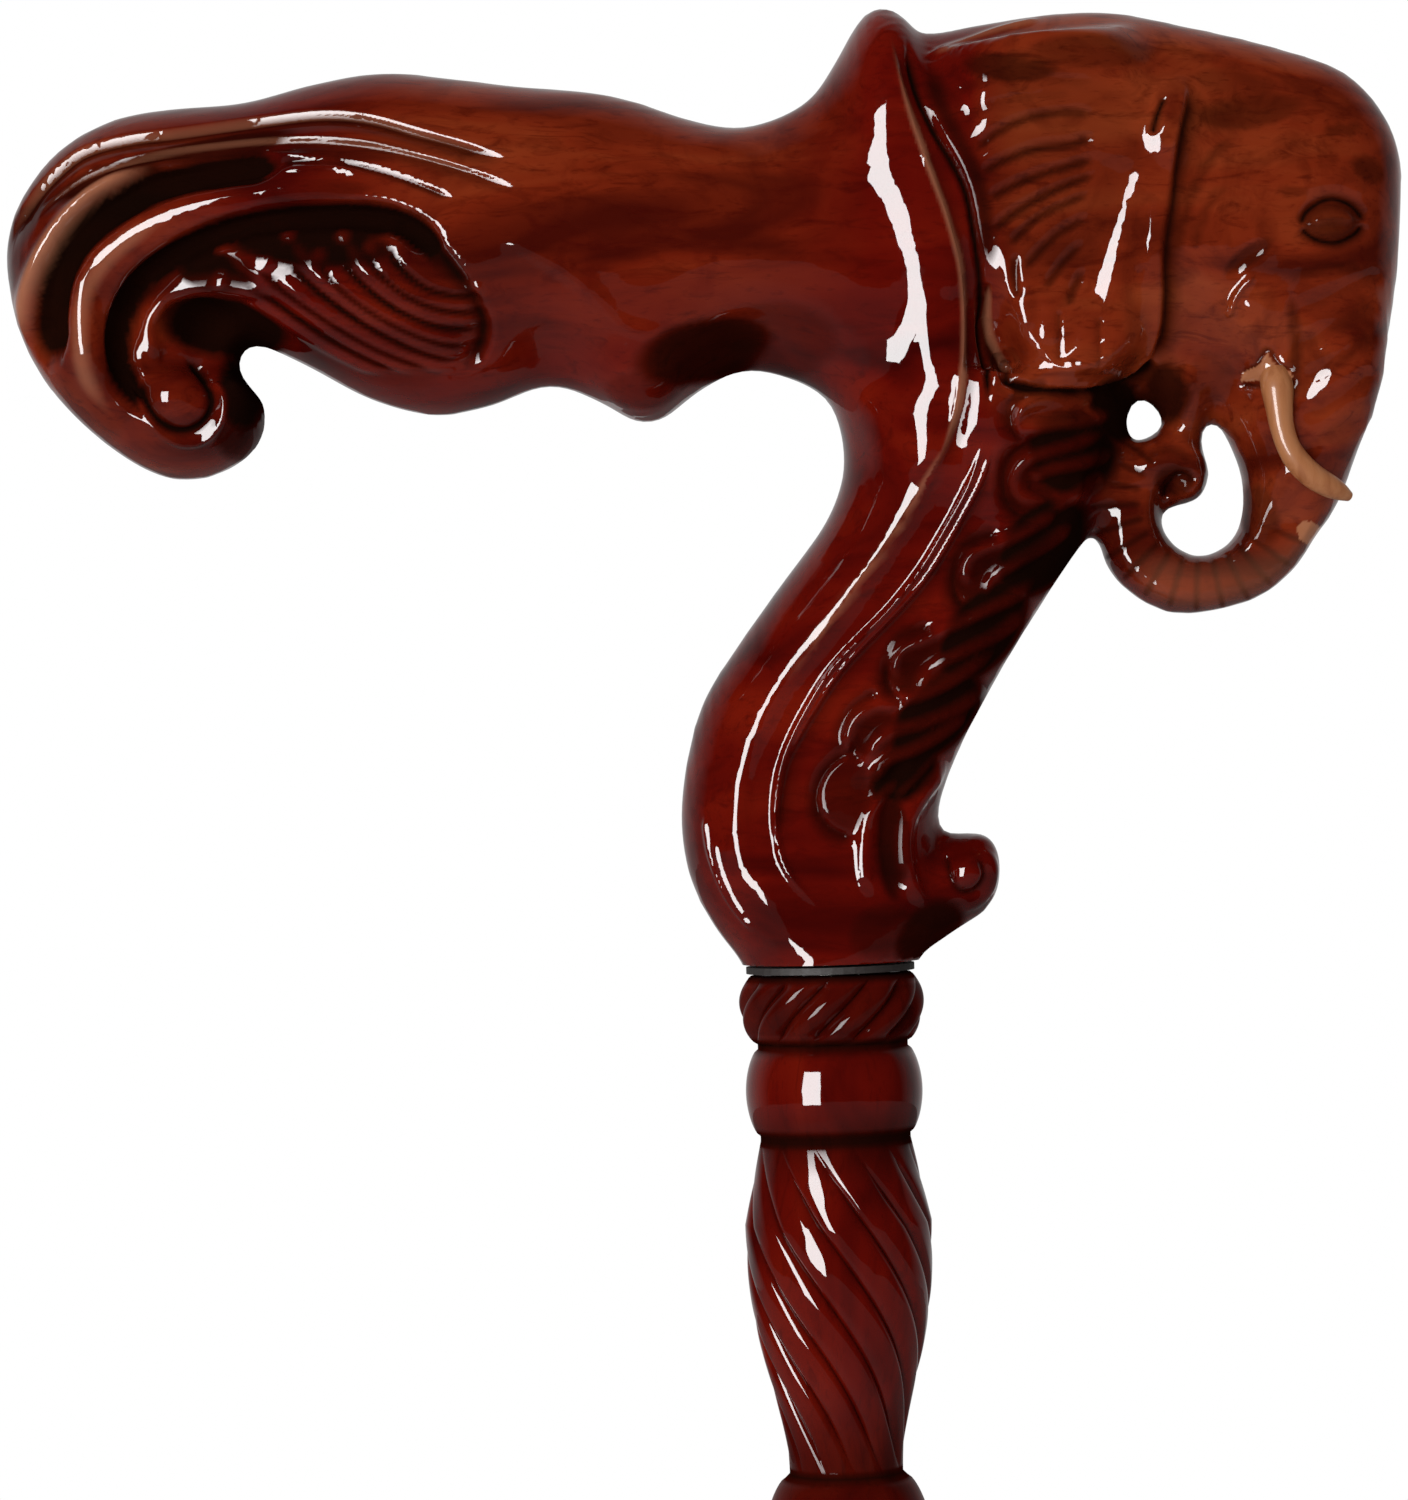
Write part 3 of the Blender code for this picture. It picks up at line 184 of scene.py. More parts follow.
# Flat faces, on the right of a line's way: half thickness at the line's start and end, how much the face
# thins for each millimetre from the line, how far it reaches, how softly it starts, then x and z along the
# line. FLAT_RISE says how late along the line the thickness grows.
FLATS = [
    (10.3, 14, 0.08, 26, 3.2, [(-7, -3), (-9.2, 4), *NECK_RIDGE, (17.4, 66)]),
    (14.3, 14.3, 0.02, 25, 1.6, [(26, 66), (24.4, 70), (22, 76), (21, 82), (20, 90), (18.6, 96), (16, 103),
        (14, 110)]),
    (5.8, 4.8, 0, 10, 1.6, [(64.6, 52), (60.4, 45.4), (54.6, 40.6), (47, 38.8), (40, 39), (34.4, 43),
        (31.8, 49), (32.4, 56), (36.4, 62.6)]),
]
FLAT_RISE = 1.7

# Terraces, broad ledges that stand over what lies on the right of their way: drop, fall, how softly the
# terrace rounds over, then x and z along it
TERRACES = [
    (1.1, 40, 2.4, [(4.4, 106), (5.6, 103), (8.6, 95), (10.8, 90), (12.2, 85), (13, 80), (13.2, 75),
        (12.6, 70), (11.4, 64.6)]),
    (0.9, 26, 0.6, [(x + 0.9, z - 0.5) for x, z in NECK_RIDGE]),
    (1, 9, 1.4, [(40, 95), (39, 92), (38.2, 89), (37, 85.6), (36, 82.6), (34.9, 79.2), (34.2, 76.6)]),
    (0.75, 3, 0.8, [(41.6, 91), (41.2, 88.6), (40.6, 84.6), (39.8, 79.6), (39.4, 77)]),
]

# Flat-floored channels: depth with a minus, half width, then x and z along the middle
CHANNELS = [
    (-2.6, 2.8, [(-61, 98.2), (-68, 97.8), (-76.2, 96.4), (-82.7, 93.6), (-87.6, 89.8), (-90.2, 85.6),
        (-91.3, 81.2), (-91.4, 77), (-90.6, 73.2)]),
    (-2.7, 2.2, [(-43.6, 82.6), (-45, 87), (-48.2, 90), (-52.5, 91.2), (-58, 91.5), (-64, 91.1),
        (-70, 89.7), (-75.6, 87.2), (-80, 83.6), (-82.4, 79), (-82.6, 74.6), (-81.2, 70.6), (-78.8, 67)]),
]

# Ledges stand over what lies on the right of their way, which climbs back over the fall:
# drop, fall, how softly the ledge rounds over, then x and z along it
LEDGES = [
    (1.2, 2.8, 0.3, TOP_EDGE),
    (0.2, 1.4, 0.4, [(-44, 100.7), (-38, 98.5), (-29, 95.2), (-23, 92.2), (-17, 88.9), (-11, 85.8)]),
    (0.9, 2.2, 0.3, SECOND_EDGE),
    (0.2, 1.4, 0.4, [(-40, 96.3), (-34, 93.4), (-28, 89.6), (-22, 85.6)]),
    (1.7, 9, 0.8, [(-70, 91.6), (-64, 92.9), (-57, 93.2), (-51, 92.8), (-47, 90.9), (-44, 87.4),
        (-41.2, 83.6), (-39.2, 80), (-38.4, 77), (-39.4, 73.8), (-42.5, 71.6)]),
    (0.9, 2.6, 0.35, COLLAR_EDGE),
    (0.8, 12, 0.3, NECK_LINE[::-1]),
    (1.4, 18, 0.4, [(40.2, 69.6), (42, 73.5), (42.6, 78), (42.7, 82), (43, 86), (43.7, 90), (44.4, 94),
        (45, 98), (45.9, 101.5), (46.2, 104.2)]),
    (0.3, 3, 0.3, [(14.4, 108), (15.4, 103), (17, 98.6), (18.8, 95), (19.6, 91.6), (20.2, 87.4), (21, 84),
        (22, 81)]),
    (1.2, 2.4, 0.3, EAR_BACK),
    (1.8, 3.4, 0.3, [(22.4, 71), (24.6, 69.4), (27.4, 68.3), (31, 67.7), (35, 67.8), (38.6, 69),
        (41.4, 71.4)]),
    (1.2, 2.6, 0.45, [(29, 67.6), (25.8, 66.8), (24.3, 65), (24.5, 63), (26, 61.4)]),
    (1.4, 2.8, 0.45, [(27.6, 61.4), (24.2, 59.6), (23.1, 56.8), (23.8, 54), (26.4, 52)]),
    (1.4, 2.8, 0.45, [(22.4, 50.2), (18.7, 48.8), (17, 46.2), (17, 43.4), (18.9, 40.8)]),
    (1.4, 2.8, 0.45, [(14, 39.4), (10.2, 37.4), (8.5, 35), (8.6, 32.4), (10.6, 30.6)]),
    (1.1, 2.4, 0.45, [(7.4, 31.8), (4.2, 30), (2.8, 27.6), (3.1, 25.4), (5.2, 24.2)]),
    (1.2, 2.6, 0.45, [(5.4, 25.6), (1.6, 23.6), (-0.3, 21), (-0.5, 18.4), (0.9, 16.2), (3.8, 14.8)]),
]

# Rounded folds, and with a minus rounded valleys: height, half width, then x and z along the crest
FOLDS = [
    (0.6, 1.4, OUTER_STRAND),
    (0.5, 2.4, MAIN_STRAND),
    (1.2, 1.9, HOOK_STRAND),
    (0.5, 1.4, [(-38, 89), (-33, 86.4), (-28.6, 83.6), (-25, 80.2), (-22.6, 77.4), (-19.6, 76.4),
        (-16.4, 77)]),
    (-1, 2, [(10.4, 24.6), (8, 20.6), (7.2, 15.4), (7.4, 11), (9, 6.4)]),
    (0.6, 1.2, [(5.6, 7.4), (4.6, 10), (4.5, 13.3), (5, 16.6), (7.1, 19.7), (9.7, 22)]),
    (0.9, 1.4, [(12.4, 5.6), (10.4, 8.3), (9.4, 11.9), (9.5, 15.3), (10.6, 18.1), (12.7, 21),
        (15.2, 23.8)]),
    (0.4, 0.8, [(8.4, 19.2), (10.9, 21.7), (13.8, 24.8)]),
    (0.5, 0.9, [(18.7, 13.2), (20, 10.6), (19.2, 8), (17.4, 6.4), (15.2, 6)]),
    (0.32, 1.6, [(26.4, 81), (26.1, 78), (26.4, 75)]),
    (0.32, 1.7, [(29.2, 79.6), (28.8, 76.4), (28.8, 73)]),
    (0.36, 2, [(34.4, 76.4), (33, 73), (32, 69.8)]),
    (0.4, 1.4, [(59.2, 90.6), (61.4, 91.6), (64.4, 91.6), (67.4, 90)]),
    (0.4, 1.1, [(60.4, 86.6), (62.9, 87.6), (65.6, 86.6)]),
    (-0.5, 1.2, [(50.4, 80.4), (52.4, 82.6), (55, 84)]),
    (-0.5, 1.1, [(39.6, 59.4), (41.6, 60.4), (44, 60), (45.6, 58.2)]),
]

# The ear fan's grooves, written like the folds
FAN = [
    (-0.55, 1.1, [(19.4, 96), (23, 98.6), (27, 100.4), (32, 101), (36, 100.4)]),
    (-0.6, 1.1, [(20, 93.3), (24, 95.4), (28, 96.7), (32, 97.1), (36, 98.2)]),
    (-0.6, 1.1, [(20.8, 90.2), (25, 92.3), (29, 93.8), (33, 94.8), (36, 95.6)]),
    (-0.6, 1.1, [(21.2, 86.2), (25, 89), (29, 91.2), (33, 92.8), (36, 93.8)]),
    (-0.55, 1, [(23.6, 84.6), (28, 88.5), (31.6, 90.2), (35, 91.4)]),
    (-0.55, 1, [(25.6, 82), (29, 85.4), (31.6, 87.2), (34.4, 88.4)]),
    (-0.5, 1, [(28.2, 79.6), (30.8, 83), (33.4, 85.4)]),
    (-0.5, 1, [(31, 77.6), (32, 80), (33.2, 82)]),
    (-0.5, 0.9, [(25, 84.4), (24.8, 81.6), (25, 78.8)]),
    (-0.3, 1.2, [(16.6, 103), (21, 104.9), (26, 105.4), (31, 104.8), (37, 104.3)]),
    (-0.3, 1.2, [(17.4, 100), (22, 101.9), (27, 103), (34, 103.2)]),
]

# Sharp crests, and with a minus sharp cuts: height, half width, then x and z along the line
LINES = [
    (0.3, 0.8, [(-79, 98.3), (-72, 98.8), (-66, 99.1), (-61, 98.8), (-54.6, 97.5)]),
    (0.55, 0.9, [(-82, 92.7), (-77, 94.4), (-72, 95.8), (-66, 96.9), (-60, 97.2), (-55.6, 97.1),
        (-51.6, 95.8)]),
    (-0.6, 0.9, [(-64, 98.2), (-58, 98.1), (-53, 97.1), (-48, 95.4), (-42, 92.8)]),
    (-0.5, 0.8, [(-92.6, 93.4), (-89, 96.2), (-84.6, 98.3), (-79, 99.3), (-70, 99.8), (-60, 100)]),
    (-1, 1.3, [(-80.4, 73.4), (-80, 70.2), (-78.8, 67.7), (-76.4, 66.2), (-74, 66.5), (-72.3, 68.4),
        (-72.2, 70.8), (-73.4, 73), (-75.4, 75)]),
    (0.6, 0.8, [(-81.2, 71.4), (-80.1, 68.6), (-78.3, 66.1), (-76, 64.7), (-73.4, 64.8), (-71.4, 66.4),
        (-70.6, 68.6), (-71, 71), (-73.4, 72.5)]),
    (0.5, 0.8, COLLAR_EDGE[::-1]),
    (-0.9, 1, [(12.6, 111), (13.4, 107), (14.4, 103), (16, 98.8), (18, 95), (19.4, 91.6), (20, 87.6),
        (20.4, 83.6), (20.7, 79), (20.8, 74), (21.2, 70), (21, 65)]),
    (0.8, 0.7, [(20.6, 62.4), (19, 57.8), (17.3, 54.4), (15, 50.6), (12.8, 47.2), (10.6, 44.4),
        (8.2, 41.7), (5.2, 38.9), (2.6, 36.4), (0.4, 33.8), (-1.8, 30.4), (-3.8, 26.8), (-5.2, 23.2),
        (-5.9, 19), (-5.8, 15), (-5, 11.6), (-3, 8.6), (-0.4, 6)]),
    (0.7, 0.6, NECK_LINE[:-2]),
    (0.45, 0.6, [(-14.5, 18.2), (-14.1, 14), (-12.9, 9.9), (-11.1, 6.6), (-8.8, 3.8)]),
    (0.4, 0.6, [(-13.5, 15), (-12.8, 11.4), (-11.5, 8), (-9.8, 5.2)]),
    (0.4, 0.7, [(14.4, 107.8), (17, 109), (20, 109.9), (24, 111.2), (29, 112.3)]),
    (0.6, 0.7, [(21.9, 70.8), (22.7, 68.8), (24.6, 67.4)]),
    (0.7, 0.8, [(50.2, 75.4), (51.4, 78.4), (53.6, 80.8)]),
    (-0.8, 0.9, [(43.3, 102), (42.4, 100), (41.8, 97.8)]),
    (-0.8, 1.4, [(59.2, 86.2), (60.4, 88.3), (63, 89.6), (65.6, 88.8), (67.4, 86.6)]),
    (-0.8, 1.4, [(59.2, 86.4), (61, 84.9), (63.6, 84.3), (66, 85.2), (67.2, 86.6)]),
    (-0.35, 0.8, [(60.4, 86.4), (62.8, 86.2), (65.4, 86.6)]),
    (-0.3, 0.8, [(30, 77.4), (30, 74.4), (29.8, 71)]),
    (-0.3, 0.8, [(35, 76.4), (34.6, 73), (34.8, 70)]),
    (-0.6, 0.8, [(14.2, 12.8), (15.2, 8.8), (17.2, 7.9), (18.6, 9.8), (18, 12)]),
    (-0.7, 0.8, [(41.8, 54.2), (42.3, 55.8), (43.5, 57), (45, 56.9), (45.6, 55.8)]),
    (-0.6, 0.7, [(51, 67.5), (54.6, 67.3), (58.2, 67.7)]),
    (-0.5, 0.7, [(51.2, 68.7), (53.4, 69.9), (54.8, 71.7), (56.2, 69.9), (58.2, 69)]),
]

# The feather bundle: the crest of each strand from its round tip
FEATHER = [
    [(-49.9, 90), (-48.4, 86.4), (-45.6, 83.4), (-42, 82), (-38.4, 82)],
    [(-52.4, 87.4), (-50, 84), (-46.6, 81.4), (-42.6, 80.2), (-38.2, 79.8)],
    [(-55.7, 89), (-53.2, 85), (-49.4, 81.4), (-45, 79), (-41, 78), (-38, 77.7)],
    [(-58.6, 86.6), (-55.6, 83), (-51.6, 79.8), (-46.6, 77.2), (-42, 76), (-38.2, 75.7)],
    [(-62.3, 89.4), (-59.6, 85.4), (-55, 81), (-50, 77.6), (-45, 75.2), (-39.4, 74)],
    [(-65, 85.8), (-61.4, 82.4), (-56.4, 78.8), (-51, 75.6), (-46, 73.6), (-41.4, 72.6)],
    [(-70.6, 88.2), (-66.4, 84.8), (-61, 80.6), (-56, 77), (-51, 74.2), (-45.6, 71.8)],
    [(-70.4, 84.4), (-66, 81.4), (-60.5, 77.6), (-55.5, 74.6), (-50, 72)],
]

# The mane's broad strands, which sweep up off the leaves' round ends
MANE = [
    [(24.3, 63.7), (25.2, 66.1), (28, 66.9), (31.6, 66.5), (35.2, 67.3)],
    [(24.8, 62.8), (28.5, 63.6), (32.7, 64), (36, 64.9)],
    [(28.4, 54.4), (25.2, 55), (23.9, 57.1), (25, 59.2), (27.8, 60.3), (32, 61.4), (35.6, 62.7)],
    [(27, 56), (27, 57.5), (28.9, 58.4), (33.1, 59.2), (36.3, 60.5)],
    [(27.9, 53.4), (31.2, 55.2), (35, 57.7)],
    [(19.4, 43.8), (17.8, 45.7), (18.1, 47.7), (20.2, 49.1), (23.2, 49.9), (26.3, 51.6), (29.6, 53.8)],
    [(20.1, 42.6), (20.9, 45.2), (23.7, 47), (27.4, 49.2), (31.1, 52.1)],
    [(10, 32.3), (8.9, 35), (9.7, 37.3), (12.6, 38.3), (15.7, 39.7), (19.9, 41.4), (23.6, 43.2), (27, 46)],
    [(11.2, 31.4), (13.1, 34.7), (16.8, 36.5), (21.7, 38.9), (25.4, 42)],
    [(2.9, 23.2), (2.8, 26.3), (3.8, 28.7), (6, 30.3), (9.7, 31.1), (13.7, 32.3), (17.3, 34.3), (22, 37.6)],
    [(4.6, 23), (7.4, 26.9), (12.3, 28.4), (16.6, 30.2), (20.3, 32.9)],
    [(5.2, 20.5), (7.5, 23.8), (11, 25.3), (14.7, 27.4), (17.9, 30.2)],
]

# Height and half width of each strand of the feather and the mane, of the valleys and cuts that ring the
# trunk and its loop, of the dark lines of painted shade and stain in the feather and across the loop, then a
# strand's tip, as a swell
FEATHER_STRAND = (0.7, 1.4)
MANE_STRAND = (0.8, 1.4)
TRUNK_VALLEY = (-0.35, 1.6)
LOOP_CUT = (-0.12, 0.7)
FEATHER_GAP = (1.0, 0.9)
LOOP_SHADE = (0.6, 0.8)
FEATHER_TIP = (1.4, 1.4, 0, 0.45)

# Where the trunk's rings cross its front edge and its back edge, and the loop's rings, which point away
# from its middle: x and z of that middle, inner and outer radius, first and last angle and the step between
TRUNK_RINGS = [
    ((69.6, 80.6), (58.6, 76.2)), ((68.6, 77.2), (58.8, 71.8)), ((67.6, 73.6), (59, 67.4)),
    ((66.6, 69.4), (59.2, 63.2)), ((65, 63.8), (58, 58.6)),
]
LOOP_RINGS = (46.2, 54.0, 6.6, 14.0, 140, 340, 14)

# How far the stain and painted shade under a ledge reach at most, in millimetres
STAIN_AND_SHADE_REACH = 3.0

# Edges where the wood shows lighter, partly worn and partly painted highlight, with one broad band of painted
# light on the underside of the trunk's loop: strength, half width, then x and z along the edge
WEAR_AND_SHEEN = [
    (1, 0.7, COLLAR_EDGE),
    (0.5, 0.6, NECK_RIDGE[5:] + COLLAR_EDGE[:1]),
    (0.4, 0.4, TOP_EDGE),
    (0.35, 0.35, SECOND_EDGE),
    # A broad band of painted light where the loop's underside lies in shade
    (0.25, 5, [(63, 51), (58, 45.8), (50.6, 43.6), (43, 43.6), (37.4, 48)]),
    (1, 1.1, OUTER_STRAND),
    (0.55, 1.5, MAIN_STRAND[3:]),
    (0.7, 0.5, EAR_BACK),
    (0.5, 0.5, [(15.6, 108.2), (20, 110), (25, 111.4), (30, 112.4)]),
]

# Dark lines of painted shade in creases and of gathered stain: strength, half width, then x and z along the
# line
DARK_LINES = [
    (0.75, 2.2, [(15, 108.6), (16.4, 103), (18.4, 98.6), (20.2, 94.6), (21.2, 90.6), (21.6, 86),
        (21.8, 81)]),
    (0.55, 1.3, [(44.6, 82), (45, 86), (46.6, 91), (49, 95.2), (53, 98.4)]),
    (0.45, 1.1, [(46.6, 83.6), (48, 88.4), (50.8, 92.4)]),
    (0.6, 1.4, [(57.6, 79), (58.2, 74), (58, 69), (57, 64)]),
    (0.45, 1.2, [(57, 79.6), (59.6, 80.8), (63, 81.4), (67, 81)]),
]

# Ovals of painted shade, where hollows and undersides lie in shadow, and of gathered stain: x, z, half
# length, half height, tilt in degrees, strength
STAIN_AND_SHADE_OVALS = [
    (-68.3, 70.5, 3.6, 6, 0, 0.95), (-70, 78.4, 9.6, 4.6, -10, 1), (-76, 82, 3.6, 3, 0, 0.3),
    (-59, 90.6, 16, 2.8, 0, 0.95), (-60, 88, 12.5, 3.2, -6, 0.95), (-71, 85.4, 6.5, 2.8, -10, 0.95),
    (-56, 78, 16, 6, -32, 0.38), (-76, 98.4, 19, 2.8, 14, 0.8), (-56, 99.4, 12, 1.8, -4, 0.45),
    (-62, 94.6, 12, 1.6, 0, 0.45), (-86, 71, 5, 7, 30, 0.3), (-68, 66, 5, 5, 0, 0.6),
    (25.6, 57, 5, 5.6, 0, 0.75), (19.6, 46.4, 5, 5.6, 0, 0.75), (11.6, 35.6, 5, 5.6, 0, 0.75),
    (5.6, 27.6, 4.6, 4, 0, 0.7), (2.8, 20, 4.2, 5.6, 0, 0.55), (-12.6, 73.6, 10, 4.6, 6, 0.85),
    (-4, 74.4, 9, 6, 0, 0.4), (31, 60, 7, 6.5, 0, 1), (36.6, 65, 4, 5, 0, 0.95), (27, 49, 9, 5.5, 52, 1),
    (19.6, 39, 9.5, 5, 50, 1), (13.6, 29, 9, 5, 45, 1), (9.6, 22.6, 6, 4, 40, 1), (8, 14, 2.2, 8, 0, 0.8),
    (12, 3, 6, 4, 40, 0.8), (6.4, 3.4, 5, 4, 20, 0.45), (48, 68.4, 3.4, 3.6, 0, 0.3),
    (42.6, 66.8, 3.4, 4.4, 0, 0.85), (53, 52, 3, 5, 20, 0.5), (53, 83, 4.4, 1.4, 35, 0.5),
    (53.4, 100.6, 8, 2.4, 4, 0.55), (52, 104, 6, 2, -10, 0.35), (63, 87, 4.4, 3.2, 0, 0.65),
    (-20, 70, 6, 3, 0, 0.35), (67.6, 93, 2.8, 1.8, -40, 0.55), (64.8, 97.8, 3, 1, 5, 0.5),
    (58.6, 90.6, 2.4, 0.9, 0, 0.4), (43.2, 56.4, 3, 2.2, 0, 0.6), (30, 95, 13, 16, 0, 0.28),
    (25, 106.6, 7, 2.2, -6, 0.72), (35, 108.2, 9, 2.6, -4, 0.5), (18.5, 100, 2.4, 6, 20, 0.35),
]

# Outlines of the pale places in the wood: the lip over the tusk's root, and a patch on the trunk
PALE_OUTLINES = [
    [(51.3, 67.9), (57.8, 68.2), (57.6, 69), (55.9, 69.7), (54.8, 71.3), (53.6, 69.8), (51.6, 69)],
    [(57.7, 50.2), (58.3, 51.1), (59.6, 50.9), (61.4, 49.6), (60.4, 48.3), (58.8, 48.2), (57.9, 49)],
]

# The tusk: x, z, distance from the middle plane and radius along it
TUSK = [
    (54.7, 68.2, 8.4, 1.9), (54.8, 66.4, 9.4, 1.95), (54.9, 64.2, 9.8, 1.65), (55.1, 62, 10, 1.45),
    (55.7, 59.8, 10, 1.4), (56.8, 57.8, 9.8, 1.5), (58.6, 56, 9.3, 1.5), (60.6, 54.8, 8.4, 1.4),
    (62, 54.1, 7.6, 1.1), (63.2, 53.5, 6.8, 0.6),
]

# Shaft, in metres below its top
BEAD_HEIGHT = 0.0082
BEAD_TOP_RADIUS = 0.0096
BEAD_RADIUS = 0.0114
BALL_HEIGHT = 0.0104
BALL_RADIUS = 0.0106
NECKING_HEIGHT = 0.0006
NECKING_RADIUS = 0.0090
VASE_HEIGHT = 0.0400
VASE_SHOULDER_RADIUS = 0.0112
VASE_FOOT_RADIUS = 0.0068
SHOULDER_DEPTH = 0.0100
LOWER_BALL_TOP_RADIUS = 0.0074
TAPER_TOP_RADIUS = 0.0098
FOOT_RADIUS = 0.0080
FLUTES = 12
BEAD_FLUTE_DEPTH = 0.0013
VASE_FLUTE_DEPTH = 0.0008
BEAD_LEAD = -0.059
VASE_LEAD = 0.096
VASE_START = BEAD_HEIGHT + BALL_HEIGHT + 2 * NECKING_HEIGHT
VASE_END = VASE_START + VASE_HEIGHT
SHAFT_SIDES = 288
BULGE_STEPS = 28
SHOULDER_STEPS = 24
BULGE_POWER = 0.6
VASE_STEPS = 64
VASE_FALL_POWER = 1.35
TAPER_STEPS = 24

# Colours of the woods
RED_DARK = (0.045, 0.0013, 0.0008)
RED = (0.112, 0.0033, 0.0012)
RED_BRIGHT = (0.172, 0.0080, 0.0022)
BROWN_DARK = (0.070, 0.0055, 0.0018)
BROWN = (0.195, 0.0200, 0.0050)
BROWN_BRIGHT = (0.270, 0.043, 0.0110)
# Near black of stain and of painted shade in the recesses
STAIN_AND_SHADE_COLOUR = (0.0055, 0.0022, 0.0012)
PALE = (0.400, 0.150, 0.070)
# Lighter edges: wear and painted highlight
WEAR_AND_SHEEN_COLOUR = (0.400, 0.150, 0.080)
TUSK_DARK = (0.31, 0.095, 0.030)
TUSK_MIDDLE = (0.42, 0.155, 0.056)
TUSK_BRIGHT = (0.49, 0.205, 0.085)


def seen(places):
    """Where places on the carved body show in its middle plane, from the camera or its mirror image."""
    spread = VIEW_DISTANCE / (VIEW_DISTANCE - np.abs(places[:, 1:2]))
    return VIEW_MIDDLE + (places[:, [0, 2]] - VIEW_MIDDLE) * spread


def smooth_line(points, steps=6):
    """Points of any dimension joined by one smooth curve."""
    rows = np.array(points, float)
    rows = np.vstack([2 * rows[0] - rows[1], rows, 2 * rows[-1] - rows[-2]])
    share = (np.arange(steps) / steps)[:, None]
    parts = []
    for p, q, r, s in zip(rows, rows[1:], rows[2:], rows[3:]):
        bend = 2 * p - 5 * q + 4 * r - s
        cubic = 3 * q - p - 3 * r + s
        parts.append(0.5 * (2 * q + (r - p) * share + bend * share ** 2 + cubic * share ** 3))
    parts.append(rows[-2:-1])
    return np.vstack(parts)


def measure(flat, points, reach):
    """The flat points within reach of a stroke: their numbers, distance, side and share along it.

    The side is positive on the right of the stroke's way.
    """
    line = smooth_line(points)
    low = line.min(0) - reach
    high = line.max(0) + reach
    near = np.flatnonzero(((flat >= low) & (flat <= high)).all(1))
    start = line[:-1]
    along = line[1:] - start
    length = np.maximum((along ** 2).sum(1), 1e-9)
    offset = flat[near][:, None, :] - start[None]
    share = np.clip((offset * along).sum(2) / length, 0.0, 1.0)
    gap = offset - share[..., None] * along
    distance = np.sqrt((gap ** 2).sum(2))
    best = distance.argmin(1)
    rows = np.arange(len(near))
    cross = offset[rows, best, 0] * along[best, 1] - offset[rows, best, 1] * along[best, 0]
    runs = np.concatenate([[0.0], np.cumsum(np.sqrt(length))])
    travelled = (runs[best] + share[rows, best] * np.sqrt(length[best])) / runs[-1]
    return near, distance[rows, best], np.sign(cross), travelled


def eased(share):
    """A share from 0 to 1, held at both ends and smooth between them."""
    share = np.clip(share, 0.0, 1.0)
    return share * share * (3 - 2 * share)


def taper(travelled, ends):
    """1 along a stroke's middle, falling to 0 at both ends."""
    return eased(np.minimum(travelled, 1 - travelled) / ends)


def round_shape(share):
    """Height of a rounded fold, from its crest at 0 to its foot at 1."""
    return np.clip(1 - share ** 2, 0.0, 1.0) ** 2


def sharp_shape(share):
    """Height of a sharp crest or cut."""
    return np.clip(1 - share, 0.0, 1.0) ** 1.7


def channel_shape(share):
    """Depth of a flat-floored channel with steep walls."""
    return 1 - eased((share - 0.45) / 0.55)


def strokes_at(flat, strokes, shape, ends=0.16):
    """The highest of several strokes' rises and the deepest of their cuts, at each point."""
    rise = np.zeros(len(flat))
    cut = np.zeros(len(flat))
    for height, half_width, points in strokes:
        near, distance, _, travelled = measure(flat, points, half_width)
        share = taper(travelled, ends)
        found = abs(height) * shape(distance / (half_width * (0.4 + 0.6 * share) + 1e-6)) * share
        layer = rise if height > 0 else cut
        layer[near] = np.maximum(layer[near], found)
    return rise, cut


def ledges_at(flat, ledges):
    """How far each point lies below the ledges, and how much stain and painted shade lies under them."""
    cut = np.zeros(len(flat))
    shade = np.zeros(len(flat))
    for drop, fall, soft, points in ledges:
        near, distance, side, travelled = measure(flat, points, fall)
        signed = distance * side
        step = eased((signed + soft) / (2 * soft))
        climb = np.clip(1 - signed / fall, 0.0, 1.0) ** 1.4
        step = step * taper(travelled, 0.1)
        darkened = np.clip(1 - signed / min(fall, STAIN_AND_SHADE_REACH), 0.0, 1.0)
        cut[near] = np.maximum(cut[near], drop * step * climb)
        shade[near] = np.maximum(shade[near], drop / 1.4 * step * darkened)
    return cut, shade


def oval(flat, x, z, half_length, half_height, tilt):
    """1 at an oval's middle, falling to 0 at its rim."""
    turn = math.radians(tilt)
    dx = flat[:, 0] - x
    dz = flat[:, 1] - z
    u = (dx * math.cos(turn) + dz * math.sin(turn)) / half_length
    v = (dz * math.cos(turn) - dx * math.sin(turn)) / half_height
    return np.clip(1 - u * u - v * v, 0.0, 1.0)


def swells_at(flat, swells):
    """Broad oval rises and hollows."""
    layer = np.zeros(len(flat))
    for *place, height in swells:
        layer += height * oval(flat, *place) ** 2
    return layer


def between(*strokes):
    """The stroke midway between two strokes."""
    sides = []
    for line in map(smooth_line, strokes):
        places = np.linspace(0, len(line) - 1, 9)
        sides.append([np.interp(places, np.arange(len(line)), column) for column in line.T])
    return np.mean(sides, axis=0).T


def loop_rings():
    """The rings of the trunk's loop, from its outside in."""
    x, z, inner, outer, first, last, step = LOOP_RINGS
    rings = []
    for degrees in range(first, last, step):
        way = (math.cos(math.radians(degrees)), math.sin(math.radians(degrees)))
        rings.append([(x + radius * way[0], z + radius * way[1]) for radius in (outer, inner)])
    return rings


def fine_strokes():
    """Every sharp line of the carving."""
    return LINES + [(*LOOP_CUT, ring) for ring in loop_rings()]


def fold_strokes():
    """Every rounded fold of the carving."""
    strokes = FOLDS + [(*FEATHER_STRAND, points) for points in FEATHER]
    strokes += [(*MANE_STRAND, points) for points in MANE]
    return strokes + [(*TRUNK_VALLEY, [front, back]) for front, back in TRUNK_RINGS]


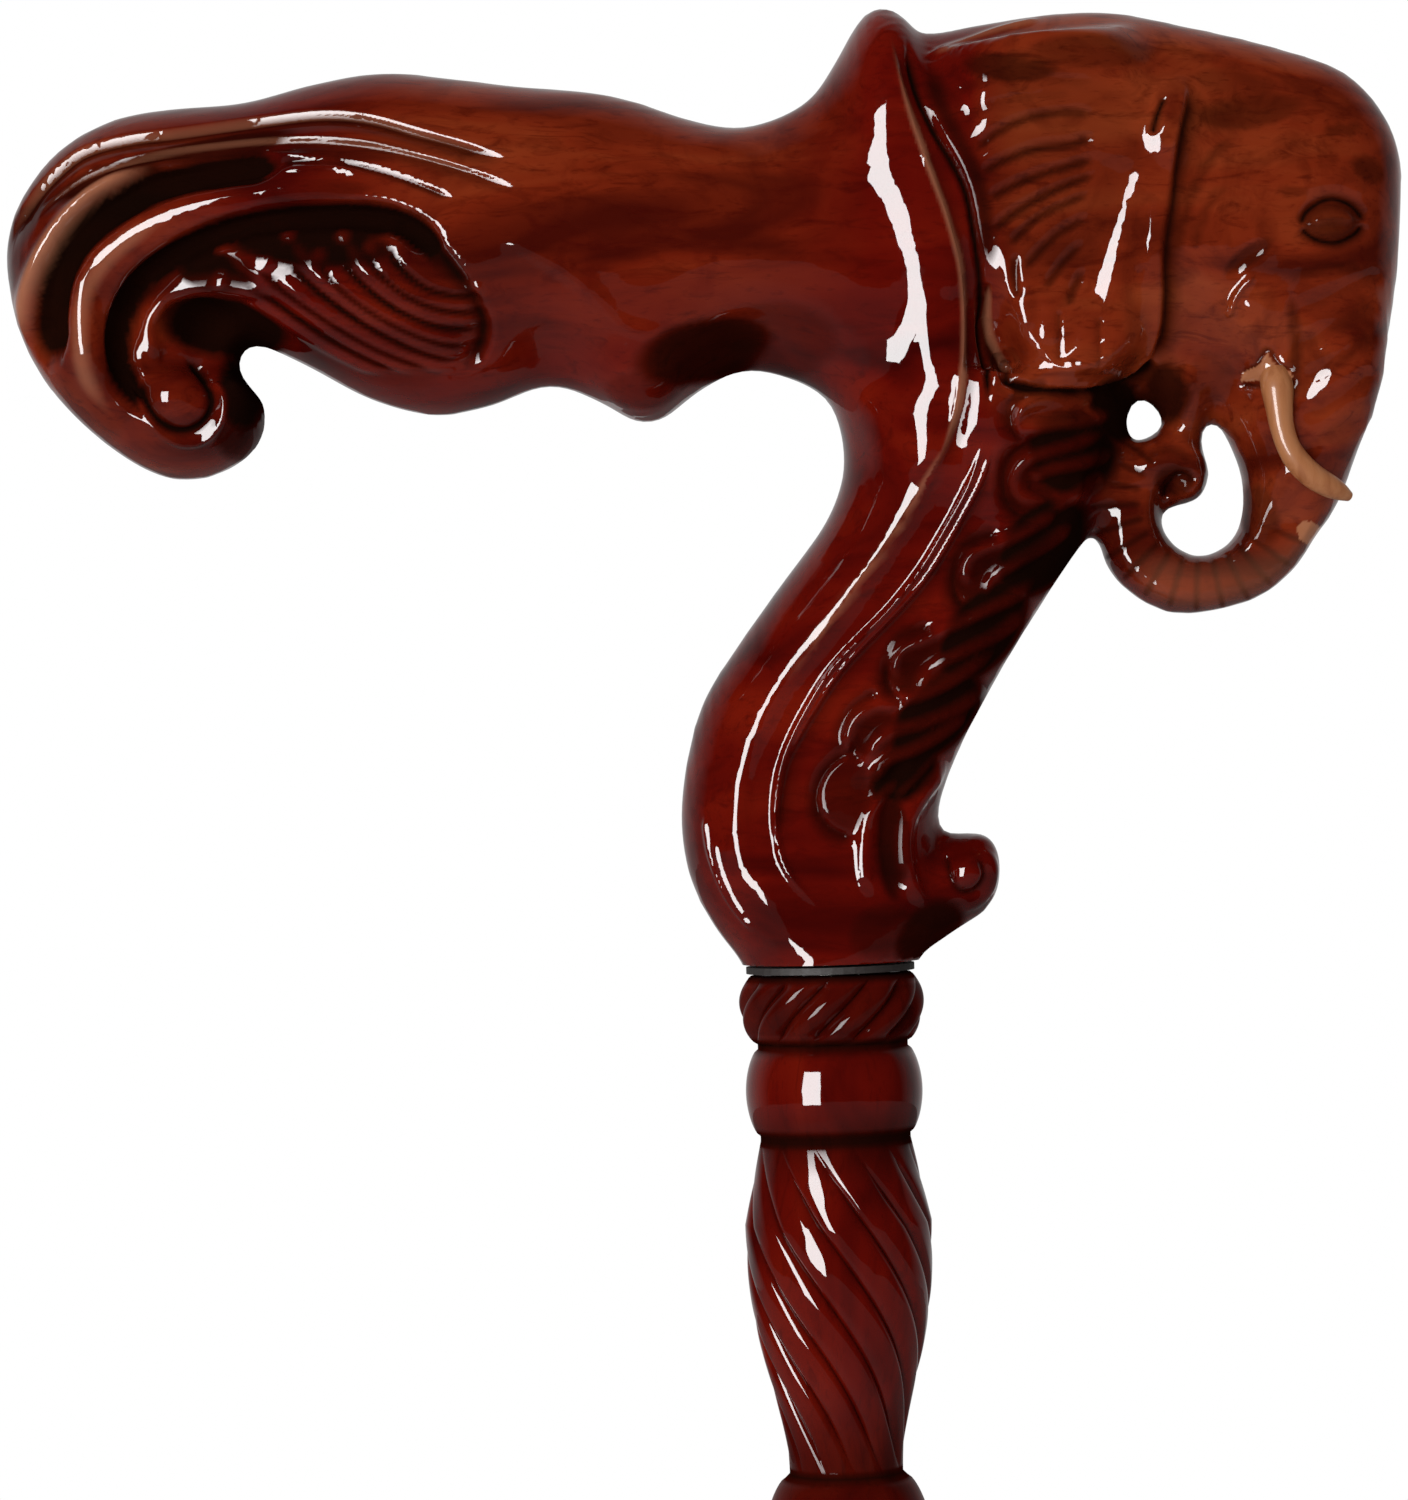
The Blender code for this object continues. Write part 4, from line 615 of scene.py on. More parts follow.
def dark_strokes():
    """Every dark line of painted shade and gathered stain."""
    gaps = [between(*pair) for pair in zip(FEATHER, FEATHER[1:])]
    strokes = DARK_LINES + [(*FEATHER_GAP, points) for points in gaps]
    return strokes + [(*LOOP_SHADE, ring) for ring in loop_rings()]


def relief(flat):
    """Height of the carving over the plain body in millimetres, and its share of stain and painted shade, at
    each point.
    """
    ledge, shade = ledges_at(flat, LEDGES)
    channel = strokes_at(flat, CHANNELS, channel_shape, 0.12)[1]
    rise, valley = strokes_at(flat, fold_strokes(), round_shape)
    fan = strokes_at(flat, FAN, round_shape)[1]
    crest, cut = strokes_at(flat, fine_strokes(), sharp_shape, 0.1)
    tips = swells_at(flat, [(*points[0], *FEATHER_TIP) for points in FEATHER])
    dark = strokes_at(flat, dark_strokes(), round_shape)[0]
    height = swells_at(flat, SWELLS) + rise - valley + crest - cut + tips
    height = height - np.maximum(ledge, channel) - ledges_at(flat, TERRACES)[0] - fan
    # The dark share: stain in cuts, valleys and channels, painted shade in hollows, under ledges and in the
    # ovals; crests and tips kept lighter
    stain_and_shade = np.maximum.reduce([channel / 1.6, shade, cut / 0.75, valley / 1.4, fan / 0.75, dark])
    for *place, strength in STAIN_AND_SHADE_OVALS:
        stain_and_shade = np.maximum(stain_and_shade, strength * eased(1.6 * oval(flat, *place)))
    stain_and_shade = stain_and_shade - 0.4 * rise - 1.2 * crest - 1.0 * tips
    return height, np.clip(stain_and_shade, 0.0, 1.0)


def wear_and_sheen_share(flat):
    """How much the wood shows lighter at each point: worn edges, painted highlights and painted light."""
    return strokes_at(flat, WEAR_AND_SHEEN, round_shape, 0.2)[0]


def head_warmth(flat):
    """How much the wood turns from dark red to the head's orange brown."""
    x, z = flat.T
    behind = np.clip((x - 20) / 6, 0, 1)
    above = np.clip((z - 62 + np.clip(x - 36, 0, 14) * 2.2) / 6, 0, 1)
    loop = np.clip((14 - np.hypot(x - 46.8, z - 54)) / 2, 0, 1)
    grip = 0.95 * np.clip((z - 70) / 30, 0, 1) * np.clip((x + 62) / 20, 0, 1) * np.clip((8 - x) / 14, 0, 1)
    scroll = 0.5 * np.clip((-66 - x) / 12, 0, 1)
    return np.clip(behind * above + loop + grip + scroll, 0, 1)


def inside(flat, outline):
    """Which flat points lie inside a closed outline."""
    found = np.zeros(len(flat), bool)
    for (x_a, z_a), (x_b, z_b) in zip(outline, outline[1:] + outline[:1]):
        spans = (z_a > flat[:, 1]) != (z_b > flat[:, 1])
        if z_a != z_b:
            crossing = x_a + (x_b - x_a) * (flat[:, 1] - z_a) / (z_b - z_a)
            found ^= spans & (flat[:, 0] < crossing)
    return found


def flattened(places):
    """The body with its flat faces cut."""
    flat = seen(places)
    depth = np.abs(places[:, 1])
    for first, last, thinning, reach, soft, points in FLATS:
        near, distance, side, travelled = measure(flat, points, reach)
        limit = first + (last - first) * travelled ** FLAT_RISE - thinning * distance
        over = depth[near] - limit
        held = 0.5 * (over + np.sqrt(over ** 2 + 0.3))
        share = taper(travelled, 0.08) * eased(0.5 + distance * side / soft) * eased((reach - distance) / 3)
        depth[near] -= held * share * (over > -2)
    return np.stack([places[:, 0], np.copysign(depth, places[:, 1]), places[:, 2]], 1)


def near_lines(flat, reach, fine_only):
    """Which flat points lie close to a line of the carving."""
    found = np.zeros(len(flat), bool)
    lines = [stroke[-1] for stroke in fine_strokes() + LEDGES]
    if not fine_only:
        lines += [stroke[-1] for stroke in fold_strokes() + CHANNELS + FAN]
    for points in lines + [outline + outline[:1] for outline in PALE_OUTLINES]:
        near, distance, *_ = measure(flat, points, reach)
        found[near[distance < reach]] = True
    return found


def edges_of(triangles, count):
    """Every triangle's edges as pairs of vertices, and one number for each pair."""
    pairs = np.concatenate([triangles[:, [0, 1]], triangles[:, [1, 2]], triangles[:, [2, 0]]])
    pairs = np.sort(pairs, axis=1)
    return pairs, pairs[:, 0].astype(np.int64) * count + pairs[:, 1]


def refine(places, triangles, near):
    """Halve every edge that ends near a line, and split the triangles to match."""
    pairs, keys = edges_of(triangles, len(places))
    unique, first, inverse = np.unique(keys, return_index=True, return_inverse=True)
    ends = pairs[first]
    halved = near[ends].any(1)
    middle = np.full(len(unique), -1)
    middle[halved] = len(places) + np.arange(halved.sum())
    places = np.vstack([places, places[ends[halved]].mean(1)])
    halves = middle[inverse].reshape(3, -1).T
    count = (halves >= 0).sum(1)
    parts = [triangles[count == 0]]
    for number in (1, 2, 3):
        rows = np.flatnonzero(count == number)
        sought = halves[rows] >= 0 if number == 1 else halves[rows] < 0
        order = (np.arange(3) + sought.argmax(1)[:, None]) % 3
        a, b, c = np.take_along_axis(triangles[rows], order, 1).T
        p, q, r = np.take_along_axis(halves[rows], order, 1).T
        if number == 1:
            split = [(a, p, c), (p, b, c)]
        elif number == 2:
            split = [(a, b, q), (a, q, r), (r, q, c)]
        else:
            split = [(a, p, r), (p, b, q), (r, q, c), (p, q, r)]
        parts += [np.stack(corners, 1) for corners in split]
    return places, np.vstack(parts)


def softened(places, triangles, passes):
    """The places drawn halfway to the mean of their neighbours, several times."""
    count = len(places)
    keys = np.unique(edges_of(triangles, count)[1])
    a = keys // count
    b = keys % count
    share = np.bincount(a, minlength=count) + np.bincount(b, minlength=count)
    columns = [column.copy() for column in places.T]
    for _ in range(passes):
        for i, column in enumerate(columns):
            total = np.bincount(a, column[b], count) + np.bincount(b, column[a], count)
            columns[i] = column + 0.5 * (total / share - column)
    return np.stack(columns, 1)


def normals_of(places, triangles):
    """Unit normals at the vertices."""
    corners = places[triangles]
    across = np.cross(corners[:, 1] - corners[:, 0], corners[:, 2] - corners[:, 0])
    total = np.zeros_like(places)
    for axis in range(3):
        for corner in range(3):
            total[:, axis] += np.bincount(triangles[:, corner], across[:, axis], len(places))
    return total / np.linalg.norm(total, axis=1, keepdims=True)


def settle(thing, **values):
    """Set several of a thing's properties."""
    for name, value in values.items():
        setattr(thing, name, value)
    return thing


def link(name, data):
    """An object that holds a mesh, a camera or a lamp, in the scene."""
    made = bpy.data.objects.new(name, data)
    bpy.context.scene.collection.objects.link(made)
    return made


def object_of(name, bm):
    """An object made from a bmesh, in the scene, with its faces turned outwards."""
    bmesh.ops.recalc_face_normals(bm, faces=bm.faces)
    mesh = bpy.data.meshes.new(name)
    bm.to_mesh(mesh)
    bm.free()
    return link(name, mesh)


def modify(piece, kind, **settings):
    """Replace the object's mesh by what one modifier makes of it."""
    settle(piece.modifiers.new(kind, kind), **settings)
    graph = bpy.context.evaluated_depsgraph_get()
    made = bpy.data.meshes.new_from_object(piece.evaluated_get(graph))
    piece.modifiers.clear()
    piece.data = made


def write_attribute(mesh, name, values):
    """One number for each vertex."""
    attribute = mesh.attributes.new(name, "FLOAT", "POINT")
    attribute.data.foreach_set("value", np.asarray(values, np.float32))


def skin(bm, rings, close_ends):
    """Faces between closed rows of vertices, and over the first and last row."""
    for low, high in zip(rings[:-1], rings[1:]):
        for i in range(len(low)):
            j = (i + 1) % len(low)
            bm.faces.new((low[i], low[j], high[j], high[i]))
    if close_ends:
        bm.faces.new(rings[0])
        bm.faces.new(rings[-1])


def turns(count):
    """The angles of a ring's places."""
    return [2 * math.pi * i / count for i in range(count)]


def ring(bm, middle, arm, side, count):
    """A closed row of vertices, on the ellipse that two half axes span."""
    return [bm.verts.new(middle + arm * math.cos(t) + side * math.sin(t)) for t in turns(count)]


def add_strip(bm, rows):
    """One closed body of elliptical rings, each on the crosswise line that a row gives."""
    rings = []
    for x_a, z_a, x_b, z_b, half in smooth_line(rows, STRIP_STEPS):
        middle = Vector((x_a + x_b, 0.0, z_a + z_b)) * MM / 2
        arm = Vector((x_a - x_b, 0.0, z_a - z_b)) * MM / 2
        rings.append(ring(bm, middle, arm, Vector((0.0, half * MM, 0.0)), RING_POINTS))
    skin(bm, rings, True)


def plain_place(radius, height, turn):
    """A place on a plain turned surface."""
    return radius * math.cos(turn), radius * math.sin(turn), height


def lathe(bm, profile, sides, close_ends, place=plain_place):
    """Turn radius and height pairs about Z."""
    rings = [[bm.verts.new(place(*point, turn)) for turn in turns(sides)] for point in profile]
    skin(bm, rings, close_ends)
    return rings


def melted_body():
    """The handle's strips melted into one body: an object, its places in millimetres and its triangles."""
    bm = bmesh.new()
    for strip in (NECK, COLLAR, GRIP, SCROLL_WEB, HEAD, EAR, JAW, CURL):
        add_strip(bm, strip)
    handle = object_of("carved_handle", bm)
    modify(handle, "REMESH", mode="VOXEL", voxel_size=CARVING_CELL)
    modify(handle, "SMOOTH", factor=0.5, iterations=SOFTEN_PASSES)
    mesh = handle.data
    places = np.empty(len(mesh.vertices) * 3)
    mesh.vertices.foreach_get("co", places)
    triangles = np.empty(len(mesh.loop_triangles) * 3, np.int32)
    mesh.loop_triangles.foreach_get("vertices", triangles)
    return handle, places.reshape(-1, 3) / MM, triangles.reshape(-1, 3)


def trim_seat(handle):
    """Cut the neck's end flat and bore it for the insert."""
    low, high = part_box("handle_insert")
    bore = (high.x - low.x) / 2 + GLUE_ROOM
    depth = high.z - SEAT + 2 * MM
    bm = bmesh.new()
    lathe(bm, [(CUTTER_RADIUS, -CUTTER_DEPTH), (CUTTER_RADIUS, 0.0), (bore, 0.0), (bore, depth)], 96, True)
    cutter = object_of("seat_cutter", bm)
    modify(handle, "BOOLEAN", operation="DIFFERENCE", object=cutter)
    bpy.data.objects.remove(cutter, do_unlink=True)


def make_handle():
    """The handle: strips melted into one body, refined near the carving's lines, then carved."""
    handle, places, triangles = melted_body()
    for reach, fine_only in ((LINE_REACH, False), (FINE_REACH, True)):
        places, triangles = refine(places, triangles, near_lines(seen(places), reach, fine_only))
    places = softened(flattened(places), triangles, FINE_SOFTEN_PASSES)
    flat = seen(places)
    height, stain_and_shade = relief(flat)
    normals = normals_of(places, triangles)
    facing = eased((np.abs(normals[:, 1]) - 0.1) / 0.4)
    places = softened(places + normals * (height * facing)[:, None], triangles, LAST_SOFTEN_PASSES)
    mesh = bpy.data.meshes.new("carved_handle")
    mesh.vertices.add(len(places))
    mesh.vertices.foreach_set("co", (places * MM).ravel())
    mesh.loops.add(triangles.size)
    mesh.loops.foreach_set("vertex_index", triangles.ravel())
    mesh.polygons.add(len(triangles))
    mesh.polygons.foreach_set("loop_start", np.arange(0, triangles.size, 3))
    mesh.update(calc_edges=True)
    # Stain with painted shade, and lighter edges from wear and painted highlights, for the material
    write_attribute(mesh, "stain_and_shade", stain_and_shade)
    write_attribute(mesh, "warmth", head_warmth(flat))
    write_attribute(mesh, "pale", np.any([inside(flat, outline) for outline in PALE_OUTLINES], axis=0))
    write_attribute(mesh, "wear_and_sheen", wear_and_sheen_share(flat) * facing)
    handle.data = mesh
    trim_seat(handle)
    handle.data.transform(Matrix.Translation(SEAT_PLACE))
    return handle


def make_tusk(name, side):
    """One tusk: round rings along its curve, drawn out to a blunt tip."""
    bm = bmesh.new()
    rows = smooth_line(TUSK, 8)
    places = [Vector((x, side * y, z)) * MM + SEAT_PLACE for x, z, y, _ in rows]
    rings = []
    for i, centre in enumerate(places):
        along = (places[min(i + 1, len(places) - 1)] - places[max(i - 1, 0)]).normalized()
        across = along.cross(Vector((0.0, 1.0, 0.0))).normalized()
        radius = rows[i][3] * MM
        rings.append(ring(bm, centre, across * radius, across.cross(along) * radius, TUSK_SIDES))
    skin(bm, rings, True)
    return object_of(name, bm)


def profile_run(start, end, steps, radius_at):
    """Profile points from one depth to another, with the radius at each share of the way."""
    shares = [i / steps for i in range(steps + 1)]
    return [(radius_at(share), start + (end - start) * share) for share in shares]


def bulge(low_radius, high_radius, top_radius, start, end, steps=BULGE_STEPS):
    """Profile points of a rounded bulge."""
    swell = top_radius - max(low_radius, high_radius)

    def radius_at(share):
        base = low_radius + (high_radius - low_radius) * share
        return base + swell * math.sin(math.pi * share) ** BULGE_POWER

    return profile_run(start, end, steps, radius_at)


def vase_radius(share):
    """The vase's long side: nearly straight at first, then drawn in to its foot."""
    fall = (1 - math.cos(math.pi * share ** VASE_FALL_POWER)) / 2
    return VASE_SHOULDER_RADIUS + (VASE_FOOT_RADIUS - VASE_SHOULDER_RADIUS) * fall


def taper_radius(share):
    """The plain taper down to the foot."""
    return TAPER_TOP_RADIUS + (FOOT_RADIUS - TAPER_TOP_RADIUS) * share


def shaft_profile():
    """Outer profile of the shaft from its top down, as radius and depth."""
    ball_start = BEAD_HEIGHT + NECKING_HEIGHT
    shoulder = VASE_START + SHOULDER_DEPTH
    lower_start = VASE_END + NECKING_HEIGHT
    lower_end = lower_start + BALL_HEIGHT
    length = SHAFT_HIGH.z - SHAFT_LOW.z
    points = bulge(BEAD_TOP_RADIUS, NECKING_RADIUS, BEAD_RADIUS, 0.0, BEAD_HEIGHT)
    points += bulge(NECKING_RADIUS, NECKING_RADIUS, BALL_RADIUS, ball_start, ball_start + BALL_HEIGHT)
    top = VASE_SHOULDER_RADIUS
    points += bulge(NECKING_RADIUS, top, top, VASE_START, shoulder, SHOULDER_STEPS)
    points += profile_run(shoulder, VASE_END, VASE_STEPS, vase_radius)[1:]
    points += bulge(LOWER_BALL_TOP_RADIUS, NECKING_RADIUS, BALL_RADIUS, lower_start, lower_end)
    return points + profile_run(lower_end + NECKING_HEIGHT, length, TAPER_STEPS, taper_radius)


def carve_share(depth, start, end):
    """How deep the flutes are, from 0 at the ends of a carved stretch to 1."""
    if depth <= start or depth >= end:
        return 0.0
    return min(1.0, 6 * min(depth - start, end - depth) / (end - start))


def flute_place(turn):
    """How far across a flute's land an angle lies: 0 at its middle, 1 at the cut."""
    return abs(2 * ((turn * FLUTES / (2 * math.pi)) % 1.0) - 1)


def carved_place(radius, height, turn):
    """A place on the shaft, with the rope bead's strands and the vase's flutes cut in and wound round."""
    across = flute_place(turn)
    bead = BEAD_FLUTE_DEPTH * carve_share(-height, 0.0, BEAD_HEIGHT) * across ** 2
    vase = VASE_FLUTE_DEPTH * carve_share(-height, VASE_START, VASE_END) * across ** 4
    wound = min(-height, BEAD_HEIGHT) / BEAD_LEAD
    wound += min(max(-height - VASE_START, 0.0), VASE_HEIGHT) / VASE_LEAD
    return plain_place(radius - bead - vase, height, turn + 2 * math.pi * wound)


def shaft_stain_and_shade(depth, turn):
    """How much stain and painted shade lies at a place: in the cuts, where the bulges meet, at the vase's
    shoulder and foot and on the rope bead.
    """
    across = flute_place(turn)
    bead = carve_share(depth, 0.0, BEAD_HEIGHT) * across ** 4
    vase = carve_share(depth, VASE_START, VASE_END) * across ** 12
    ends = [0.0, BEAD_HEIGHT, BEAD_HEIGHT + BALL_HEIGHT + NECKING_HEIGHT, VASE_START, VASE_END]
    ends.append(VASE_END + BALL_HEIGHT)
    seam = max(math.exp(-((depth - end) / 0.0012) ** 2) for end in ends)
    foot = 0.55 * math.exp(-((depth - VASE_END) / 0.009) ** 2)
    shoulder = 0.5 * math.exp(-((depth - VASE_START) / 0.004) ** 2)
    top = 0.5 * carve_share(depth, 0.0, BEAD_HEIGHT)
    return min(1.0, max(top, 0.8 * bead, 0.6 * vase, 0.9 * seam, foot, shoulder))


def make_shaft():
    """The shaft: turned and carved, with the stud's bore in its top."""
    bm = bmesh.new()
    low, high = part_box("joining_stud")
    bore = (high.x - low.x) / 2 + GLUE_ROOM
    bore_depth = SHAFT_HIGH.z - low.z + GLUE_ROOM
    inner = lathe(bm, [(bore, -bore_depth), (bore, 0.0)], SHAFT_SIDES, False)
    profile = shaft_profile()
    turned = [(radius, -depth) for radius, depth in profile]
    outer = lathe(bm, turned, SHAFT_SIDES, False, carved_place)
    skin(bm, [inner[1], outer[0]], False)
    bm.faces.new(inner[0])
    bm.faces.new(outer[-1])
    shaft = object_of("carved_shaft", bm)
    # Stain in the cuts and painted shade where the turned forms meet
    stain_and_shade = [0.0] * (2 * SHAFT_SIDES)
    for radius, depth in profile:
        stain_and_shade += [shaft_stain_and_shade(depth, turn) for turn in turns(SHAFT_SIDES)]
    write_attribute(shaft.data, "stain_and_shade", stain_and_shade)
    shaft.data.transform(Matrix.Translation((AXIS_X, 0.0, SHAFT_HIGH.z)))
    return shaft


class Nodes:
    """A node tree, with short ways to add to it."""

    def __init__(self, tree):
        self.tree = tree

    def add(self, kind, values=None, **settings):
        """A new node with its settings and inputs."""
        return self.fill(settle(self.tree.nodes.new(kind), **settings), values or {})

    def fill(self, node, values):
        """Set a node's inputs to numbers or colours, or join them to sockets."""
        for name, value in values.items():
            socket = node.inputs[name]
            if isinstance(value, bpy.types.NodeSocket):
                self.tree.links.new(value, socket)
            elif socket.type == "RGBA":
                socket.default_value = (*value, 1.0)
            else:
                socket.default_value = value
        return node

    def attribute(self, name):
        """One of the numbers that the mesh's vertices carry."""
        return self.add("ShaderNodeAttribute", attribute_name=name).outputs["Fac"]

    def stretched(self, *scale):
        """Object coordinates stretched along the grain."""
        where = self.add("ShaderNodeTexCoord").outputs["Object"]
        return self.add("ShaderNodeMapping", {"Vector": where, "Scale": scale}).outputs["Vector"]

    def noise(self, vector, scale, detail=4.0, roughness=0.55, distortion=0.0):
        """A noise value over a vector."""
        values = {"Vector": vector, "Scale": scale, "Detail": detail, "Roughness": roughness}
        values["Distortion"] = distortion
        return self.add("ShaderNodeTexNoise", values).outputs["Fac"]

    def remap(self, source, low, high, to_low, to_high):
        """A value moved from one range to another, held at its ends."""
        values = {"Value": source, "From Min": low, "From Max": high, "To Min": to_low, "To Max": to_high}
        return self.add("ShaderNodeMapRange", values).outputs["Result"]

    def mix(self, factor, first, second):
        """A colour mix."""
        values = {0: factor, 6: first, 7: second}
        return self.add("ShaderNodeMix", values, data_type="RGBA").outputs[2]

    def ramp(self, source, stops):
        """A colour ramp over a value; stops are position and colour pairs."""
        node = self.add("ShaderNodeValToRGB", {"Fac": source})
        elements = node.color_ramp.elements
        elements.remove(elements[-1])
        for i, (position, colour) in enumerate(stops):
            element = elements[0] if i == 0 else elements.new(position)
            element.position = position
            element.color = (*colour, 1.0)
        return node.outputs["Color"]

    def bump(self, height, strength, distance):
        """Normals that follow a height."""
        values = {"Height": height, "Strength": strength, "Distance": distance}
        return self.add("ShaderNodeBump", values).outputs["Normal"]


def new_material(name):
    """A new material, its nodes and its shader."""
    material = bpy.data.materials.new(name)
    material.use_nodes = True
    tree = material.node_tree
    return material, Nodes(tree), tree.nodes["Principled BSDF"]


def lacquered_wood(name, grain_scale):
    """Stained and lacquered carved wood: grain, dark stain and painted shade in the recesses, lighter edges
    from wear and painted highlights, a gloss coat.
    """
    material, nodes, shader = new_material(name)
    vector = nodes.stretched(*grain_scale)
    broad = nodes.noise(vector, 1.0, 3.0, 0.5, 0.6)
    streaks = nodes.remap(nodes.noise(vector, 4.5, 6.0, 0.62, 1.2), 0.52, 0.70, 0.0, 0.55)
    pores = nodes.remap(nodes.noise(vector, 18.0, 2.0, 0.5), 0.60, 0.74, 0.0, 0.30)
    mottle = nodes.noise(nodes.stretched(95.0, 95.0, 95.0), 1.0, 4.0, 0.6, 1.0)
    stain_and_shade = nodes.attribute("stain_and_shade")
    red = nodes.ramp(broad, [(0.30, RED_DARK), (0.50, RED), (0.74, RED_BRIGHT)])
    brown = nodes.ramp(broad, [(0.30, BROWN_DARK), (0.48, BROWN), (0.72, BROWN_BRIGHT)])
    brown = nodes.mix(nodes.remap(mottle, 0.50, 0.66, 0.0, 0.6), brown, BROWN_DARK)
    colour = nodes.mix(nodes.attribute("warmth"), red, brown)
    colour = nodes.mix(streaks, colour, RED_DARK)
    colour = nodes.mix(pores, colour, RED_DARK)
    # Recesses darkened by stain and by painted shade
    colour = nodes.mix(nodes.remap(stain_and_shade, 0.10, 0.95, 0.0, 0.97), colour, STAIN_AND_SHADE_COLOUR)
    # Lighter edges: wear with painted highlights, and painted light under the loop
    colour = nodes.mix(nodes.remap(nodes.attribute("wear_and_sheen"), 0.0, 1.0, 0.0, 0.85), colour, WEAR_AND_SHEEN_COLOUR)
    colour = nodes.mix(nodes.attribute("pale"), colour, PALE)
    normal = nodes.bump(nodes.noise(nodes.stretched(260.0, 260.0, 260.0), 1.0, 2.0), 0.06, 0.0006)
    nodes.fill(shader, {
        "Base Color": colour,
        "Roughness": 0.8,
        "Specular IOR Level": 0.0,
        "Coat Weight": nodes.remap(stain_and_shade, 0.20, 0.70, 1.0, 0.0),
        "Coat Roughness": 0.03,
        "Coat IOR": 1.5,
        "Normal": normal,
        "Coat Normal": normal,
    })
    return material


def pale_wood():
    """The tusks' pale wood, lacquered."""
    material, nodes, shader = new_material("pale_tusk_wood")
    grain = nodes.noise(nodes.stretched(700.0, 700.0, 120.0), 1.0, 4.0, 0.6, 0.4)
    nodes.fill(shader, {
        "Base Color": nodes.ramp(grain, [(0.3, TUSK_DARK), (0.52, TUSK_MIDDLE), (0.8, TUSK_BRIGHT)]),
        "Roughness": 0.45,
        "Specular IOR Level": 0.2,
        "Coat Weight": 0.6,
        "Coat Roughness": 0.10,
    })
    return material


def plain_metal(name, colour, roughness):
    """A turned metal with fine lathe marks."""
    material, nodes, shader = new_material(name)
    marks = nodes.noise(nodes.stretched(200.0, 200.0, 9000.0), 1.0, 3.0)
    nodes.fill(shader, {
        "Base Color": nodes.ramp(marks, [(0.3, tuple(c * 0.85 for c in colour)), (0.7, colour)]),
        "Roughness": nodes.remap(marks, 0.3, 0.7, roughness * 0.7, roughness * 1.3),
        "Metallic": 1.0,
    })
    return material


def matt_black(name, colour, roughness, scale):
    """Rubber or fibre: a dull, lightly mottled black."""
    material, nodes, shader = new_material(name)
    mottle = nodes.noise(nodes.stretched(scale, scale, scale), 1.0, 5.0)
    dark, light = (tuple(c * share for c in colour) for share in (0.7, 1.5))
    nodes.fill(shader, {
        "Base Color": nodes.ramp(mottle, [(0.3, dark), (0.7, light)]),
        "Roughness": nodes.remap(mottle, 0.3, 0.7, roughness - 0.1, roughness + 0.1),
        "Normal": nodes.bump(mottle, 0.25, 0.0002),
    })
    return material


def paint(piece, material, sharp):
    """Give a piece one material, and smooth shading but for edges sharper than an angle in degrees."""
    piece.data.materials.clear()
    piece.data.materials.append(material)
    piece.data.shade_smooth()
    piece.data.set_sharp_from_angle(angle=math.radians(sharp))


def dress(piece, material, sharp, body, slot_name, *nodes):
    """Paint a piece, attach it to its body and hide the parts that it stands for; the slot name is not used.
    """
    paint(piece, material, sharp)
    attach(piece, body)
    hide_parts(*nodes)


def make_camera():
    """The photograph's view: level with the neck, looking along +Y, rolled a little."""
    distance = VIEW_DISTANCE * MM
    target = SEAT_PLACE + Vector((VIEW_MIDDLE[0], 0.0, VIEW_MIDDLE[1])) * MM
    look = Vector((0.0, 1.0, 0.0))
    data = bpy.data.cameras.new("camera")
    data.sensor_width = 36.0
    data.lens = data.sensor_width * distance / VIEW_HEIGHT
    camera = link("camera", data)
    facing = look.to_track_quat("-Z", "Y").to_matrix().to_4x4()
    roll = Matrix.Rotation(math.radians(-VIEW_ROLL), 4, "Z")
    camera.matrix_world = Matrix.Translation(target - look * distance) @ facing @ roll
    bpy.context.scene.camera = camera


def area_light(name, place, width, height, power, diffuse=True, glossy=True):
    """A rectangular lamp that faces the stick; it may light only matt surfaces, or only show in gloss."""
    data = bpy.data.lights.new(name, "AREA")
    lamp = link(name, settle(data, energy=power, shape="RECTANGLE", size=width, size_y=height))
    facing = (Vector((0.0, 0.0, place[2])) - Vector(place)).to_track_quat("-Z", "Y").to_euler()
    settle(lamp, location=place, rotation_euler=facing, visible_camera=False)
    settle(lamp, visible_diffuse=diffuse, visible_glossy=glossy)


def make_floor():
    """A wide pale floor under the tip; the camera sees it a little brighter than it is lit."""
    bm = bmesh.new()
    place = Matrix.Translation((0.0, 0.0, FLOOR - FLOOR_GAP))
    bmesh.ops.create_circle(bm, cap_ends=True, segments=96, radius=FLOOR_RADIUS, matrix=place)
    floor = object_of("studio_floor", bm)
    material, nodes, shader = new_material("studio_white")
    path = nodes.add("ShaderNodeLightPath")
    nodes.fill(shader, {
        "Base Color": nodes.mix(path.outputs["Is Glossy Ray"], (0.82, 0.82, 0.82), (0.25, 0.25, 0.25)),
        "Roughness": 0.9,
        "Specular IOR Level": 0.0,
        "Emission Color": (1.0, 1.0, 1.0),
        "Emission Strength": nodes.remap(path.outputs["Is Camera Ray"], 0.0, 1.0, 0.0, 0.60),
    })
    floor.data.materials.append(material)


